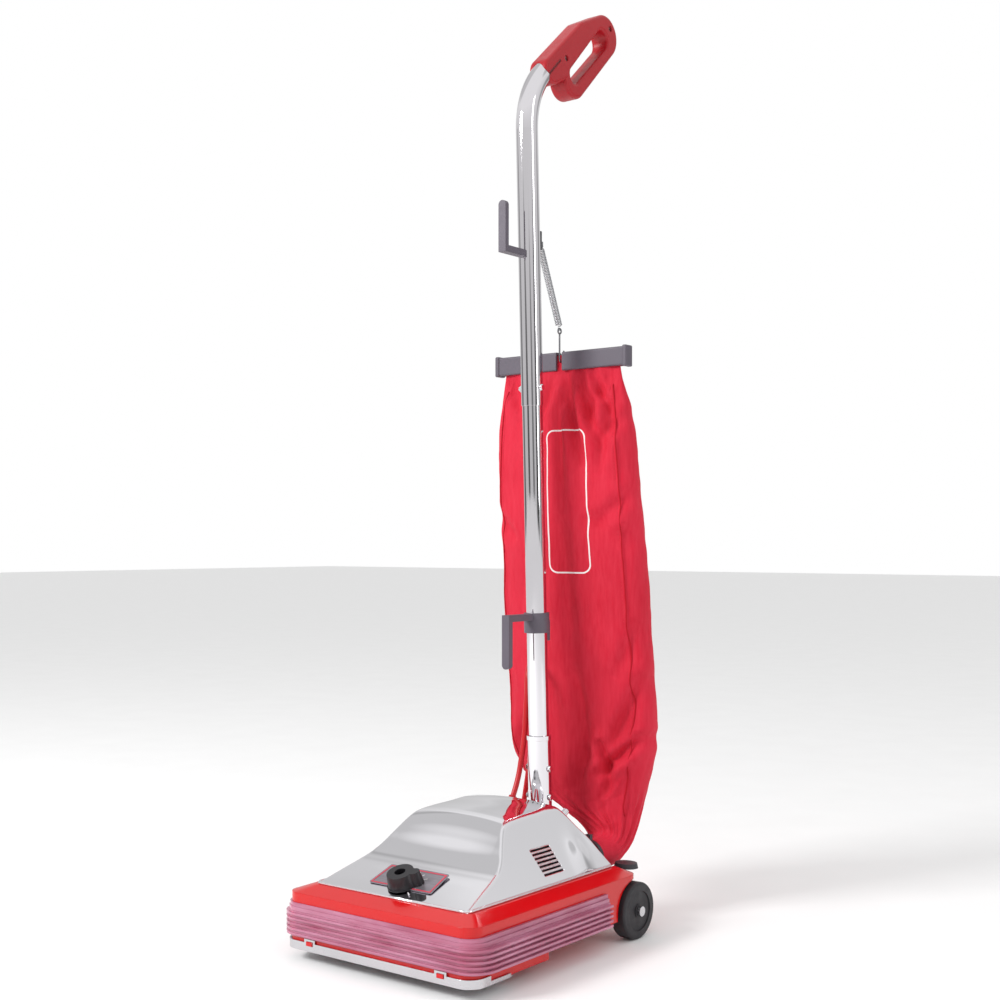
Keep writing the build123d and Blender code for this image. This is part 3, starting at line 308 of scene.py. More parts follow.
def paint(*names, material):
    """Gives CAD nodes a material in every slot."""
    for name in names:
        data = nodes[name].data
        if not data.materials:
            data.materials.append(material)
        for index in range(len(data.materials)):
            data.materials[index] = material


def mesh_piece(name, vertices, faces, material, smooth=True):
    """A closed or open mesh from points in metres, with its faces turned outwards."""
    data = bpy.data.meshes.new(name)
    data.from_pydata([tuple(v) for v in vertices], [], faces)
    data.update()
    bm = bmesh.new()
    bm.from_mesh(data)
    bmesh.ops.recalc_face_normals(bm, faces=bm.faces)
    bm.to_mesh(data)
    bm.free()
    piece = bpy.data.objects.new(name, data)
    bpy.context.collection.objects.link(piece)
    data.materials.append(material)
    if smooth:
        data.polygons.foreach_set("use_smooth", [True] * len(data.polygons))
    return piece


def smooth_curve(name, points, radius, material):
    """A round bar along one NURBS line, in metres."""
    data = bpy.data.curves.new(name, "CURVE")
    data.dimensions, data.bevel_depth, data.bevel_resolution, data.resolution_u = "3D", radius, 4, 6
    data.use_fill_caps = True
    spline = data.splines.new("NURBS")
    spline.points.add(len(points) - 1)
    for point, here in zip(spline.points, points):
        point.co = (*here, 1)
    spline.order_u, spline.use_endpoint_u = 3, True
    piece = bpy.data.objects.new(name, data)
    bpy.context.collection.objects.link(piece)
    data.materials.append(material)
    return piece


# ---------------------------------------------------------------- cord

CORD_R = 3.75
LEAD = (
    (-25, 311, 172), (-25, 322.5, 192), (-26, 332, 222), (-25, 338.5, 254), (-26, 342, 284),
    (-25.5, 344.4, 311), (-25.6, 344.6, 333), (-29.3, 353, 345.9), (-35.7, 366.8, 350.8),
    (-42.1, 380.6, 345.9), (-45.9, 389, 333), (-47, 391, 310), (-47, 390, 274), (-48.5, 386, 232),
    (-53, 383, 190), (-61, 384, 148), (-74, 389, 108), (-93, 399, 70), (-116, 412, 38),
    (-143, 425, 15), (-170, 429, 5.6), (-196, 427.5, 4.0), (-220, 425, 3.9), (-238, 424.2, 3.9),
)
TAIL = (
    (-352, 500, 38.5), (-357, 519, 33.5), (-358.5, 540, 25), (-358.5, 560, 14), (-357, 578, 6.2),
    (-355, 594, 5.2), (-353.5, 608, 7.5),
)
COIL_CENTRE = (-262.0, 512.0)
COIL_TURNS = (42.0, 88.0)  # radius of the innermost and the outermost turn
LAYER = 7.56
LAYERS = 6
LAST_SHORT = 11  # points left out of the last layer, which ends where the tail starts


def coil_points():
    """Turns of the put-away cord: flat layers that wind in and out by turns, clockwise from above."""
    inner, outer = COIL_TURNS
    steps, turns_each = 14, 6
    points = []
    angle = -pi / 2
    for layer in range(LAYERS):
        z = CORD_R + 0.15 + LAYER * layer
        full = turns_each * steps
        count = full if layer < LAYERS - 1 else full - LAST_SHORT
        for step in range(count):
            share = step / (full - 1)
            radius = outer + (inner - outer) * (share if layer % 2 == 0 else 1 - share)
            points.append((COIL_CENTRE[0] + radius * cos(angle), COIL_CENTRE[1] + radius * sin(angle), z))
            angle -= tau / steps
    return points


def add_cord():
    points = [place(*p) for p in LEAD[:-1] + tuple(coil_points()) + TAIL]
    jacket = surface("cord_jacket", (0.52, 0.006, 0.012), rough=0.32, grain=0.00008, grain_scale=700,
                     gloss=0.4)
    cord = smooth_curve("mains_cord", points, CORD_R * MM, jacket)
    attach(cord, "base")
    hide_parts("cord_lead", "cord_coil", "cord_tail")
    add_tie()


STRAP = 1.1  # thickness of the strap, in mm


def add_tie():
    """Woven strap round one side of the put-away coil."""
    way = Vector((cos(radians(60)), sin(radians(60)), 0))
    side = Vector((-way.y, way.x, 0))
    inner, outer, top = COIL_TURNS[0] - 1.0, COIL_TURNS[1] + 1.0, LAYERS * LAYER + 0.6
    path = [(inner, 0.9), (inner, top - 6), (inner + 2, top - 2), (inner + 6, top)]
    path += [(outer - 6, top), (outer - 2, top - 2), (outer, top - 6), (outer, 0.9)]
    middle = ((inner + outer) / 2, top / 2)
    vertices, faces = [], []
    for half in (-9, 9):
        for r, z in path:
            vertices.append((r, z, half))
            out, up = np.sign(r - middle[0]) * (z < top), z > middle[1]
            vertices.append((r + STRAP * out, z + STRAP * up, half))
    count = len(path)
    for i in range(count - 1):
        for near, far in ((0, 0), (1, 1)):
            faces.append((2 * i + near, 2 * i + 2 + near, 2 * (count + i + 1) + far, 2 * (count + i) + far))
        for row in (0, count):
            faces.append((2 * (row + i), 2 * (row + i) + 1, 2 * (row + i) + 3, 2 * (row + i) + 2))
    for i in (0, count - 1):
        faces.append((2 * i, 2 * i + 1, 2 * (count + i) + 1, 2 * (count + i)))
    centre = Vector((*COIL_CENTRE, 0))
    placed = [place(*(centre + way * r + side * across + Vector((0, 0, z)))) for r, z, across in vertices]
    strap = surface("strap_webbing", (0.03, 0.03, 0.035), rough=0.8, grain=0.0004, grain_scale=900, gloss=0.2)
    tie = mesh_piece("cord_tie", placed, faces, strap, smooth=False)
    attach(tie, "base")


# ---------------------------------------------------------------- cloth bag

# each cut through the bag: centre x, y, z, half width, half depth, tilt, squareness
BAG_CUTS = (
    (0, 391, 781, 96, 1.6, 0, 2.6),
    (0, 391, 764, 97.5, 2.2, 0, 2.6),
    (0, 392, 745, 99, 7, 0, 2.5),
    (0, 397, 700, 108, 24, 0, 2.4),
    (0, 401, 650, 113, 32, 0, 2.4),
    (0, 406, 600, 116.5, 38, 0, 2.4),
    (0, 415, 525, 116.5, 41, 0, 2.5),
    (0, 423, 450, 118, 43, 0, 2.5),
    (0, 432, 375, 119, 44, 0, 2.5),
    (0, 440, 300, 118, 44, 0, 2.6),
    (0, 444, 235, 114, 45, 0, 2.6),
    (6, 443, 195, 103, 45, 0, 2.5),
    (20, 439, 165, 82, 41, 4, 2.4),
    (40, 430, 138, 58, 35, 16, 2.3),
    (62, 415, 117, 36, 27, 40, 2.1),
    (72, 400, 102, 25, 23, 72, 2.0),
    (74, 383, 96, 21.4, 21.4, 90, 2.0),
    (74, 368, 96, 20.9, 20.9, 90, 2.0),
    (74, 353, 96, 20.6, 20.6, 90, 2.0),
    (74, 346, 96, 20.8, 20.8, 90, 2.0),
)
# creases: start and end on the cloth as (angle share round the front, height), depth and width in mm
CREASES = (
    ((0.10, 772), (0.42, 620), 8.0, 9.0),
    ((0.30, 772), (0.70, 640), 7.0, 8.0),
    ((0.50, 768), (0.86, 690), 5.0, 6.0),
    ((0.06, 765), (0.14, 560), 5.0, 8.0),
    ((-0.02, 770), (-0.30, 650), 4.5, 9.0),
    ((0.92, 762), (0.45, 690), 5.5, 10.0),
    ((0.90, 740), (0.62, 610), 4.5, 9.0),
    ((-0.92, 762), (-0.50, 690), 5.0, 10.0),
    ((0.98, 690), (0.60, 655), 3.0, 9.0),
    ((0.98, 585), (0.55, 540), 4.0, 11.0),
    ((0.95, 520), (0.40, 560), 3.0, 12.0),
    ((0.10, 540), (0.14, 330), 4.0, 13.0),
    ((0.16, 330), (0.34, 205), 5.0, 12.0),
    ((-0.20, 480), (-0.34, 260), 3.5, 13.0),
    ((0.98, 400), (0.72, 330), 3.5, 12.0),
    ((0.98, 330), (0.60, 215), 7.0, 11.0),
    ((0.95, 250), (0.50, 192), 9.0, 8.0),
    ((0.50, 240), (0.80, 165), 8.0, 7.0),
    ((0.30, 225), (0.20, 172), 5.0, 9.0),
    ((-0.60, 260), (-0.85, 190), 5.0, 11.0),
    ((-0.96, 560), (-0.60, 520), 3.5, 11.0),
)


def spread(values, where, knots):
    """Values at places between knots, on a smooth curve through them."""
    knots, values = np.asarray(knots, float), np.asarray(values, float)
    slopes = np.gradient(values, knots)
    index = np.clip(np.searchsorted(knots, where, side="right") - 1, 0, len(knots) - 2)
    width = knots[index + 1] - knots[index]
    t = (where - knots[index]) / width
    a, b, ma, mb = values[index], values[index + 1], slopes[index] * width, slopes[index + 1] * width
    near, far = 2 * t**3 - 3 * t**2 + 1, 3 * t**2 - 2 * t**3
    return a * near + ma * (t**3 - 2 * t**2 + t) + b * far + mb * (t**3 - t**2)


def bag_grid(rows=300, columns=288, lift=0.0):
    """Points over the bag's cloth, in mm, row by row from the top."""
    cuts = np.array(BAG_CUTS, float)
    steps = np.linalg.norm(np.diff(cuts[:, :3], axis=0), axis=1)
    knots = np.concatenate([[0], np.cumsum(steps)])
    where = np.linspace(0, knots[-1], rows)
    cx, cy, cz, half, depth, tilt, power = (spread(cuts[:, i], where, knots) for i in range(7))
    half, depth = np.maximum(half, 1.0), np.maximum(depth, 1.3)
    angle = np.linspace(0, tau, columns, endpoint=False)
    c, s = np.cos(angle)[None, :], np.sin(angle)[None, :]
    e = 2 / power[:, None]
    across = np.sign(c) * np.abs(c)**e * (half[:, None] + lift)
    deep = np.sign(s) * np.abs(s)**e * (depth[:, None] + lift)
    lean = np.radians(tilt)[:, None]
    x = cx[:, None] + across
    y = cy[:, None] + deep * np.cos(lean)
    z = cz[:, None] - deep * np.sin(lean)
    return np.stack([x, y, z], axis=2), angle, cz, half


SEAM_AT = 0.86  # share of the half width at which the front seams run


def crease_depth(x, z, half, front):
    """Depth of the creases at points of the cloth, in mm."""
    total = np.zeros_like(x)
    u = x / np.maximum(half, 1)
    for (u0, z0), (u1, z1), depth, width in CREASES:
        ax, az = (u - u0) * half, z - z0
        bx, bz = (u1 - u0) * half, z1 - z0
        share = np.clip((ax * bx + az * bz) / (bx**2 + bz**2), 0, 1)
        gap = np.sqrt((ax - share * bx)**2 + (az - share * bz)**2)
        fade = np.sin(pi * np.clip(0.12 + 0.88 * share, 0, 1))**0.6
        groove = np.exp(-(gap / width)**2) - 0.45 * np.exp(-((gap - 1.6 * width) / width)**2)
        total += depth * fade * groove * front
    return total


def ring_faces(rows, columns):
    """Faces between rows of points that each close round."""
    faces = []
    for r in range(rows - 1):
        here, below = r * columns, (r + 1) * columns
        for k in range(columns):
            nxt = (k + 1) % columns
            faces.append((here + k, here + nxt, below + nxt, below + k))
    return faces


def bend_with_handle(piece):
    """Bakes the piece's placement into its mesh points."""
    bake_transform(piece)


def add_bag():
    grid, angle, cz, half = bag_grid()
    rows, columns = grid.shape[:2]
    ahead, behind = np.roll(grid, -1, axis=1), np.roll(grid, 1, axis=1)
    along = np.gradient(grid, axis=0)
    normal = np.cross(ahead - behind, along)
    normal /= np.maximum(np.linalg.norm(normal, axis=2, keepdims=True), 1e-9)
    middle = grid.mean(axis=1, keepdims=True)
    normal *= np.sign((normal * (grid - middle)).sum(axis=2).mean() or 1)
    x, y, z = grid[:, :, 0], grid[:, :, 1], grid[:, :, 2]
    # creases are pressed into the front and, more softly, into the back
    front = np.clip(0.5 - 0.5 * np.sin(angle)[None, :] * 1.6, 0.25, 1) * np.ones_like(x)
    dent = -1.35 * crease_depth(x, z, np.maximum(half, 60)[:, None], front)
    swell = np.zeros_like(x)
    for r in range(rows):
        for k in range(columns):
            px, py, pz = x[r, k], y[r, k], z[r, k]
            swell[r, k] = (2.6 * noise.noise((px / 58, py / 58, pz / 150 + 3))
                           + 1.5 * noise.noise((px / 24 + 7, py / 24, pz / 48))
                           + 0.5 * noise.noise((px / 9, py / 9 + 5, pz / 16)))
    # the cloth is flat in the clip, tight on the spigot and gathered in between
    top = np.clip((781 - cz) / 60, 0, 1)[:, None]
    length = np.linspace(0, 1, rows)[:, None]
    tail = np.clip((0.93 - length) / 0.12, 0, 1)
    room = np.clip(top * tail, 0, 1)
    gather = np.clip((190 - cz) / 60, 0, 1)[:, None] * np.clip((0.95 - length) / 0.05, 0, 1)
    pleats = 1.6 * gather * np.sin(angle * 17)[None, :] + 1.0 * gather * np.sin(angle * 29 + 1)[None, :]
    # a sewn edge stands up a little along both sides of the front
    side = np.exp(-((np.abs(x) / np.maximum(half[:, None], 1) - SEAM_AT) / 0.018)**2)
    side *= np.sin(angle)[None, :] < 0
    seam = 1.1 * side * np.clip((length - 0.02) / 0.03, 0, 1) * tail
    grid = grid + normal * (room * (dent + swell) + pleats + seam)[:, :, None]
    vertices = [place(*grid[r, k]) for r in range(rows) for k in range(columns)]
    faces = ring_faces(rows, columns) + [tuple(range(columns))]
    bag = mesh_piece("bag_cloth", vertices, faces, cloth_red())
    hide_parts("outer_bag")
    bend_with_handle(bag)
    return bag, grid


def add_paper_bag():
    """Filter bag inside the cloth, slimmer than the creases are deep."""
    grid, _, cz, _ = bag_grid(rows=220, columns=120, lift=-17.0)
    grid = grid[(cz > 225) & (cz < 690)]
    rows, columns = grid.shape[:2]
    vertices = []
    for p in map(Vector, grid.reshape(-1, 3)):
        wave = noise.noise((p.x / 30, p.y / 30, p.z / 30))
        vertices.append(place(*(p + Vector((0, 1, 0)) * wave)))
    faces = ring_faces(rows, columns)
    faces += [tuple(range(columns)), tuple(range((rows - 1) * columns, rows * columns))]
    paper = surface("filter_paper", (0.80, 0.74, 0.62), rough=0.85, grain=0.0004, grain_scale=400)
    bag = mesh_piece("filter_bag", vertices, faces, paper)
    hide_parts("paper_bag")
    bend_with_handle(bag)


def add_bag_seams(grid):
    """Piping cord and stitches along the two front edges of the bag."""
    rows, columns = grid.shape[:2]
    red = surface("seam_binding", (0.46, 0.006, 0.018), rough=0.6, gloss=0.15, grain=0.0002, grain_scale=500)
    thread = surface("seam_thread", (0.62, 0.04, 0.06), rough=0.7, gloss=0.15, grain=0.0001)
    for side, name in ((1, "right"), (-1, "left")):
        vertices, faces = [], []
        stitch_v, stitch_f = [], []
        rough_line = []
        for r in range(16, int(rows * 0.86)):
            away = side * (grid[r, :, 0] - grid[r, :, 0].mean())
            front = [k for k in range(columns // 2, columns) if away[k] > 0]
            k = min(front, key=lambda j: abs(away[j] - SEAM_AT * np.abs(away).max()))
            rough_line.append(Vector(grid[r, k]))
        line = []
        for i in range(len(rough_line)):
            near = rough_line[max(0, i - 4):i + 5]
            line.append(sum(near, Vector((0, 0, 0))) / len(near))
        tube(vertices, faces, [p + Vector((side * 0.3, -0.5, 0)) for p in line], 0.9, 8)
        piece = mesh_piece(f"bag_seam_{name}", [place(*v) for v in vertices], faces, red)
        bend_with_handle(piece)
        for i in range(2, len(line) - 3, 2):
            a, b = line[i], line[i + 1]
            shift = Vector((-side * 4.0, -1.1, 0))
            tube(stitch_v, stitch_f, [a + shift, a.lerp(b, 0.62) + shift], 0.3, 5)
        piece = mesh_piece(f"bag_stitches_{name}", [place(*v) for v in stitch_v], stitch_f, thread)
        bend_with_handle(piece)


def tube(vertices, faces, line, radius, sides):
    """Adds a round bar along points to lists of vertices and faces."""
    base = len(vertices)
    for i, here in enumerate(line):
        before, after = line[max(0, i - 1)], line[min(len(line) - 1, i + 1)]
        way = (after - before).normalized()
        side = way.cross(Vector((0.13, 0.97, 0.2))).normalized()
        up = way.cross(side)
        for j in range(sides):
            a = tau * j / sides
            vertices.append(here + (side * cos(a) + up * sin(a)) * radius)
    for face in ring_faces(len(line), sides):
        faces.append(tuple(base + index for index in face))
    faces.append(tuple(base + j for j in range(sides)))
    faces.append(tuple(base + (len(line) - 1) * sides + j for j in range(sides)))


# ---------------------------------------------------------------- hood

DUCT = (74.0, 96.0)
DUCT_HOLE = 19.0
# side profile of the hood's middle: y and height, in mm
HOOD_LINE = (
    (32, 93), (52, 100), (75, 108), (98, 116), (114, 123), (126, 132), (140, 147.5), (153, 161),
    (163, 167.5), (172, 169.6), (190, 171), (230, 172.2), (268, 173), (281, 171), (290, 163), (303, 144),
    (317, 123.5), (326, 110), (334, 97),
)
HOOD_FRONT, HOOD_REAR, HOOD_FOOT = 32.0, 334.0, 93.0
FOOT_HALF = 121.0
HOOD_SKIN = 1.5
RIDGE_SOFT = 4.5  # how far the ridges are rounded off
SIDE_RUN = 0.63  # sideways run of the hood's side wall for each mm of height
# pressed bumps: x, y, height and reach
BUMPS = ((108, 279, 7.0, 15.0), (88, 322, 6.0, 13.0))
LOUVRES = 7


def hood_height(x, y):
    """Height of the hood's skin over points of its plan."""
    line = np.array(HOOD_LINE)
    top = spread(line[:, 1], np.clip(y, HOOD_FRONT, HOOD_REAR), line[:, 0])
    crown = 6.0 * np.clip((top - 128) / 40, 0, 1) * (1 - np.clip(np.abs(x) / 78, 0, 1)**2)
    side = HOOD_FOOT + (FOOT_HALF - np.abs(x)) / SIDE_RUN
    high = top + crown
    share = np.clip(0.5 + 0.5 * (side - high) / RIDGE_SOFT, 0, 1)
    z = side + (high - side) * share - RIDGE_SOFT * share * (1 - share)
    for bx, by, height, reach in BUMPS:
        z = z + height * np.exp(-(((x - bx) / reach)**2 + ((y - by) / reach)**2))
    return np.maximum(z, 92.2)


def hood_mesh(columns, rows):
    """Points and faces of the hood's closed skin."""
    x, y = np.meshgrid(np.linspace(-FOOT_HALF, FOOT_HALF, columns), np.linspace(HOOD_FRONT, HOOD_REAR, rows))
    outer = np.stack([x, y, hood_height(x, y)], axis=2)
    normal = np.cross(np.gradient(outer, axis=1), np.gradient(outer, axis=0))
    normal /= np.linalg.norm(normal, axis=2, keepdims=True)
    inner = outer - normal * HOOD_SKIN
    vertices = [place(*p) for skin in (outer, inner) for p in skin.reshape(-1, 3)]
    below, faces = rows * columns, []
    for r in range(rows - 1):
        for c in range(columns - 1):
            a, e = r * columns + c, (r + 1) * columns + c
            b, d = a + 1, e + 1
            faces += [(a, b, d, e), (below + e, below + d, below + b, below + a)]
    rim = list(range(columns)) + [r * columns + columns - 1 for r in range(1, rows)]
    rim += [(rows - 1) * columns + c for c in range(columns - 2, -1, -1)]
    rim += [r * columns for r in range(rows - 2, 0, -1)]
    for a, b in zip(rim, rim[1:] + rim[:1]):
        faces.append((b, a, below + a, below + b))
    return vertices, faces


def hood_openings():
    """Solids that cut the louvres, the handle's opening and the duct's hole."""
    boxes = []
    for i in range(LOUVRES):
        outward, back, down = 3.0 * i, 0.9 * i, 4.7 * i
        boxes.append(((81 + outward, 111 + outward), (188 + back, 229 + back), (132.4 - down, 134.6 - down)))
    x, z = DUCT
    boxes.append(((-33, 33), (300, 360), (60, 121)))
    boxes.append(((x - DUCT_HOLE, x + DUCT_HOLE), (300, 360), (60, z + 2)))
    bm = bmesh.new()
    for box in boxes:
        middle = place(*[(high + low) / 2 for low, high in box])
        size = [(high - low) * MM for low, high in box]
        bmesh.ops.create_cube(bm, size=1, matrix=Matrix.Translation(middle) @ Matrix.Diagonal((*size, 1)))
    turn = Matrix.Translation(place(x, 330, z)) @ Matrix.Rotation(radians(90), 4, "X")
    radius = DUCT_HOLE * MM
    bmesh.ops.create_cone(bm, cap_ends=True, segments=48, radius1=radius, radius2=radius, depth=60 * MM,
                          matrix=turn)
    data = bpy.data.meshes.new("cutter")
    bm.to_mesh(data)
    bm.free()
    tool = bpy.data.objects.new("cutter", data)
    bpy.context.collection.objects.link(tool)
    return tool


def add_hood(chrome):
    """Pressed hood: a smooth shell with real louvres, a rolled lip and its openings."""
    hood = mesh_piece("hood_shell", *hood_mesh(171, 205), chrome)
    tool = hood_openings()
    cut = hood.modifiers.new("cut", "BOOLEAN")
    cut.operation, cut.object, cut.solver, cut.use_self = "DIFFERENCE", tool, "EXACT", True
    bpy.context.view_layer.objects.active = hood
    bpy.ops.object.modifier_apply(modifier="cut")
    bpy.data.objects.remove(tool)
    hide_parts("hood")
    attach(hood, "base")
    # painted shade: a black sheet darkens the hollow behind the louvres
    add_painted_louvre_shade()
    add_hood_lip(chrome)


def add_painted_louvre_shade():
    """Black sheet behind the louvres: painted shade that darkens the hollow behind the slots."""
    corners = [(FOOT_HALF - SIDE_RUN * (z - HOOD_FOOT) - inset, y, z) for inset in (4.0, 5.2)
               for y, z in ((183, 99), (240, 99), (240, 138), (183, 138))]
    faces = [(0, 1, 2, 3), (7, 6, 5, 4)] + [(i, (i + 1) % 4, (i + 1) % 4 + 4, i + 4) for i in range(4)]
    # near-black colour painted as the shade inside the louvre slots
    black = surface("louvre_painted_shade", (0.010, 0.010, 0.012), rough=0.6, grain=0.0002, gloss=0.2)
    shade_sheet = mesh_piece("louvre_painted_shade", [place(*p) for p in corners], faces, black, smooth=False)
    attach(shade_sheet, "base")


def add_hood_lip(chrome):
    """Rolled lip round the hood's foot."""
    corner, line = 9.0, []
    half, front, rear = FOOT_HALF + 0.6, 31.4, 334.6
    for cx, cy, start in ((half - corner, front + corner, -90), (half - corner, rear - corner, 0),
                          (-half + corner, rear - corner, 90), (-half + corner, front + corner, 180)):
        for i in range(9):
            a = radians(start + 90 * i / 8)
            line.append(Vector((cx + corner * cos(a), cy + corner * sin(a), 93.6)))
    line.append(line[0].copy())
    line = [p for a, b in zip(line, line[1:]) for p in (a, a.lerp(b, 0.5))] + [line[-1]]
    vertices, faces = [], []
    tube(vertices, faces, line, 1.9, 12)
    lip = mesh_piece("hood_lip", [place(*v) for v in vertices], faces, chrome)
    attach(lip, "base")


# ---------------------------------------------------------------- small metal and plastic detail

def tube_y(z):
    return 342.4 - 0.0335 * (z - 95)


def add_spring():
    """Close-wound extension spring with a turned-up loop at each end."""
    y = tube_y(930)
    top, low = Vector((0, y + 25.5, 925.4)), Vector((0, 386, 818.5))
    axis = (low - top).normalized()
    start, end = top + axis * 4.2, low - axis * 4.2
    side = Vector((1, 0, 0))
    front = axis.cross(side).normalized()
    turns, steps, radius = 50, 14, 4.2
    line = []
    for i in range(9):
        a = radians(-30 + 250 * i / 8)
        line.append(top + (axis * -cos(a) + front * sin(a)) * 3.0 * (1 if i < 8 else 0.8))
    for i in range(turns * steps + 1):
        a = tau * i / steps
        line.append(start.lerp(end, i / (turns * steps)) + (side * cos(a) + front * sin(a)) * radius)
    for i in range(9):
        a = radians(-40 + 250 * i / 8)
        line.append(low + (axis * -cos(a) + front * sin(a)) * 3.0)
    vertices, faces = [], []
    tube(vertices, faces, line, 0.75, 6)
    wire = surface("spring_wire", (0.42, 0.42, 0.44), metal=1.0, rough=0.28, spots=0.1, grain=0.00005)
    spring = mesh_piece("spring_coils", [place(*v) for v in vertices], faces, wire)
    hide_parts("bag_spring")
    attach(spring, "handle")


def add_bristles():
    """Rows of tufts in the brush strips."""
    vertices, faces = [], []
    for x0, x1, turn in ((-132, -12, 0), (12, 132, 90)):
        for quarter in (turn, turn + 180):
            a = radians(quarter)
            out, side = Vector((0, cos(a), sin(a))), Vector((0, -sin(a), cos(a)))
            count = 40
            for i in range(count):
                for row in (-1.2, 1.2):
                    x = x0 + (x1 - x0) * (i + 0.5) / count
                    foot = Vector((x, 42, 36)) + out * 17 + side * row
                    bend = Vector((0.5 * sin(i * 2.4), 0, 0)) + side * 0.25 * cos(i * 1.7)
                    tuft = [foot, foot + out * 3.5 + bend * 0.4, foot + out * 6.8 + bend]
                    tube(vertices, faces, tuft, 1.0, 6)
    black = surface("bristle_nylon", (0.02, 0.02, 0.02), rough=0.45, grain=0.0003, grain_scale=1500)
    piece = mesh_piece("bristle_tufts", [place(*v) for v in vertices], faces, black)
    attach(piece, "brush")


def apron_point(x, y, lift):
    """A point over the hood's sloping front panel."""
    slope = 34.0 / 88.0
    size = sqrt(1 + slope**2)
    z = HOOD_FOOT + slope * (y - HOOD_FRONT)
    return Vector((x, y - lift * slope / size, z + lift / size))


def add_plate_detail():
    """Red border and plain height marks on the setting plate."""
    outline = [(-48, 51.5), (48, 51.5), (45.2, 87.5), (-45.2, 87.5)]
    red = surface("plate_border", (0.60, 0.05, 0.09), rough=0.4)
    vertices, faces = [], []
    for wide, tall, lift in ((1.0, 1.0, 1.1), (1.0, 1.0, 1.35), (0.955, 0.9, 1.35), (0.955, 0.9, 1.1)):
        for x, y in outline:
            vertices.append(apron_point(x * wide, 69.5 + (y - 69.5) * tall, lift))
    for ring in range(4):
        for i in range(4):
            j, nxt = (i + 1) % 4, (ring + 1) % 4
            faces.append((ring * 4 + i, ring * 4 + j, nxt * 4 + j, nxt * 4 + i))
    piece = mesh_piece("plate_border", [place(*v) for v in vertices], faces, red, smooth=False)
    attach(piece, "base")
    pale = surface("plate_marks", (0.75, 0.72, 0.74), rough=0.5)
    vertices, faces = [], []
    for i in range(7):
        a = radians(-35 + 23 * i)
        near, far = 23.0, 27.0 if i % 3 else 29.5
        way, side = Vector((cos(a), sin(a))), Vector((-sin(a), cos(a)))
        base = len(vertices)
        for lift in (1.1, 1.3):
            for r, w in ((near, -0.6), (near, 0.6), (far, 0.9), (far, -0.9)):
                p = Vector((0, 58)) + way * r + side * w
                vertices.append(apron_point(p.x, min(p.y, 84.5), lift))
        faces += [(base + 4, base + 5, base + 6, base + 7), (base + 3, base + 2, base + 1, base)]
        for k in range(4):
            n = (k + 1) % 4
            faces.append((base + k, base + n, base + n + 4, base + k + 4))
    piece = mesh_piece("plate_marks", [place(*v) for v in vertices], faces, pale, smooth=False)
    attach(piece, "base")


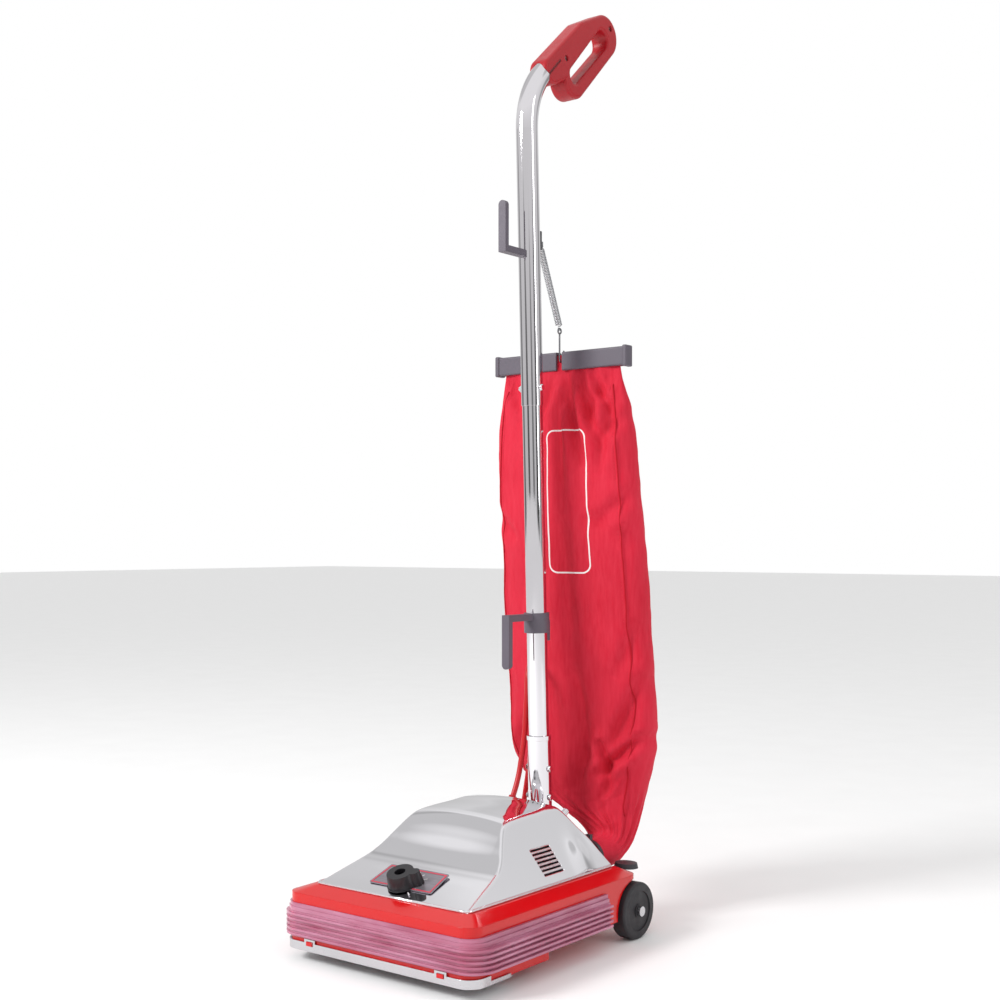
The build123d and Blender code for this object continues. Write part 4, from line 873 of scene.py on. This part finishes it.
def add_materials():
    chrome = surface("chrome_plate", (0.84, 0.83, 0.86), metal=1.0, rough=0.045, spots=0.01, edge=0.0022,
                     wave=0.0006)
    bright = surface("chrome_tube", (0.80, 0.78, 0.81), metal=1.0, rough=0.05, spots=0.02, edge=0.0005)
    steel = surface("plain_steel", (0.60, 0.60, 0.62), metal=1.0, rough=0.26, spots=0.05, grain=0.00006,
                    grain_scale=500, edge=0.0004, smear=(0.1, 1, 1))
    cast = surface("red_enamel", (0.62, 0.002, 0.003), rough=0.20, spots=0.05, edge=0.0016, grain=0.00006,
                   grain_scale=420, coat=0.3, gloss=0.35)
    grip = surface("grip_red", (0.42, 0.006, 0.014), rough=0.34, spots=0.06, edge=0.0010, grain=0.00012,
                   grain_scale=900, gloss=0.4)
    grey = surface("grey_nylon", (0.115, 0.10, 0.125), rough=0.42, gloss=0.4, spots=0.07, edge=0.0006,
                   grain=0.00015, grain_scale=700)
    dark = surface("dark_nylon", (0.045, 0.043, 0.05), rough=0.42, gloss=0.35, spots=0.1, edge=0.0006,
                   grain=0.00015, grain_scale=700)
    black = surface("black_moulding", (0.012, 0.011, 0.014), rough=0.33, spots=0.1, edge=0.0005, grain=0.0001)
    tyre = surface("wheel_black", (0.022, 0.020, 0.024), rough=0.55, spots=0.15, edge=0.0006, grain=0.0002,
                   grain_scale=500)
    alloy = surface("cast_alloy", (0.55, 0.55, 0.57), metal=0.9, rough=0.45, spots=0.08, grain=0.0002,
                    grain_scale=300)
    copper = surface("copper_winding", (0.65, 0.28, 0.12), metal=0.8, rough=0.35, grain=0.0005, grain_scale=500,
                     smear=(1, 0.1, 1))
    iron = surface("lamination", (0.16, 0.16, 0.17), metal=0.9, rough=0.5, grain=0.0003, grain_scale=900,
                   smear=(0.1, 1, 0.1))
    red_rubber = surface("red_rubber", (0.46, 0.004, 0.010), rough=0.45, gloss=0.3, grain=0.0001, edge=0.0006)
    wire = surface("dark_wire", (0.20, 0.20, 0.21), metal=1.0, rough=0.32, grain=0.00005)
    paint("hood", material=chrome)
    add_hood(chrome)
    paint("handle_socket", "lower_tube", "upper_tube", "tube_bolts", "hood_screws", material=bright)
    paint("bottom_plate", "plate_latch_left", "plate_latch_right", "rear_axle", "axle_caps", "height_carriage",
          "roller_axle", "brush_roll", "brush_spindle", "armature_shaft", "shaft_bearings", "pivot_pin",
          "tube_nuts", "grip_screws", material=steel)
    paint("base_housing", material=cast)
    paint("furniture_guard", material=vinyl())
    paint("nameplate", material=plate_print())
    paint("grip_left", "grip_right", material=grip)
    paint("upper_cord_hook", "lower_cord_hook", "bag_clip_right", "bag_clip_left", material=grey)
    paint("release_pedal", "exhaust_duct", "brush_end_caps", "switch_body", "bag_clamp", material=dark)
    paint("height_knob", "switch_rocker", "carbon_brushes", "bristle_strips", "drive_belt", material=black)
    paint("rear_wheel_right", "rear_wheel_left", "front_rollers", material=tyre)
    paint("fan_cover", "fan_case", "suction_fan", "rear_bracket", material=alloy)
    paint("commutator", "field_coils", material=copper)
    paint("armature_core", "field_core", material=iron)
    paint("strain_relief", "cord_plug", "cord_lead", "cord_coil", "cord_tail", "outer_bag", material=red_rubber)
    paint("spring_bracket", "bag_hook", "bag_spring", "paper_bag", material=wire)


set_camera()
add_cord()
set_studio()
add_materials()
bag, bag_points = add_bag()
add_bag_seams(bag_points)
add_paper_bag()
add_spring()
add_bristles()
add_plate_detail()
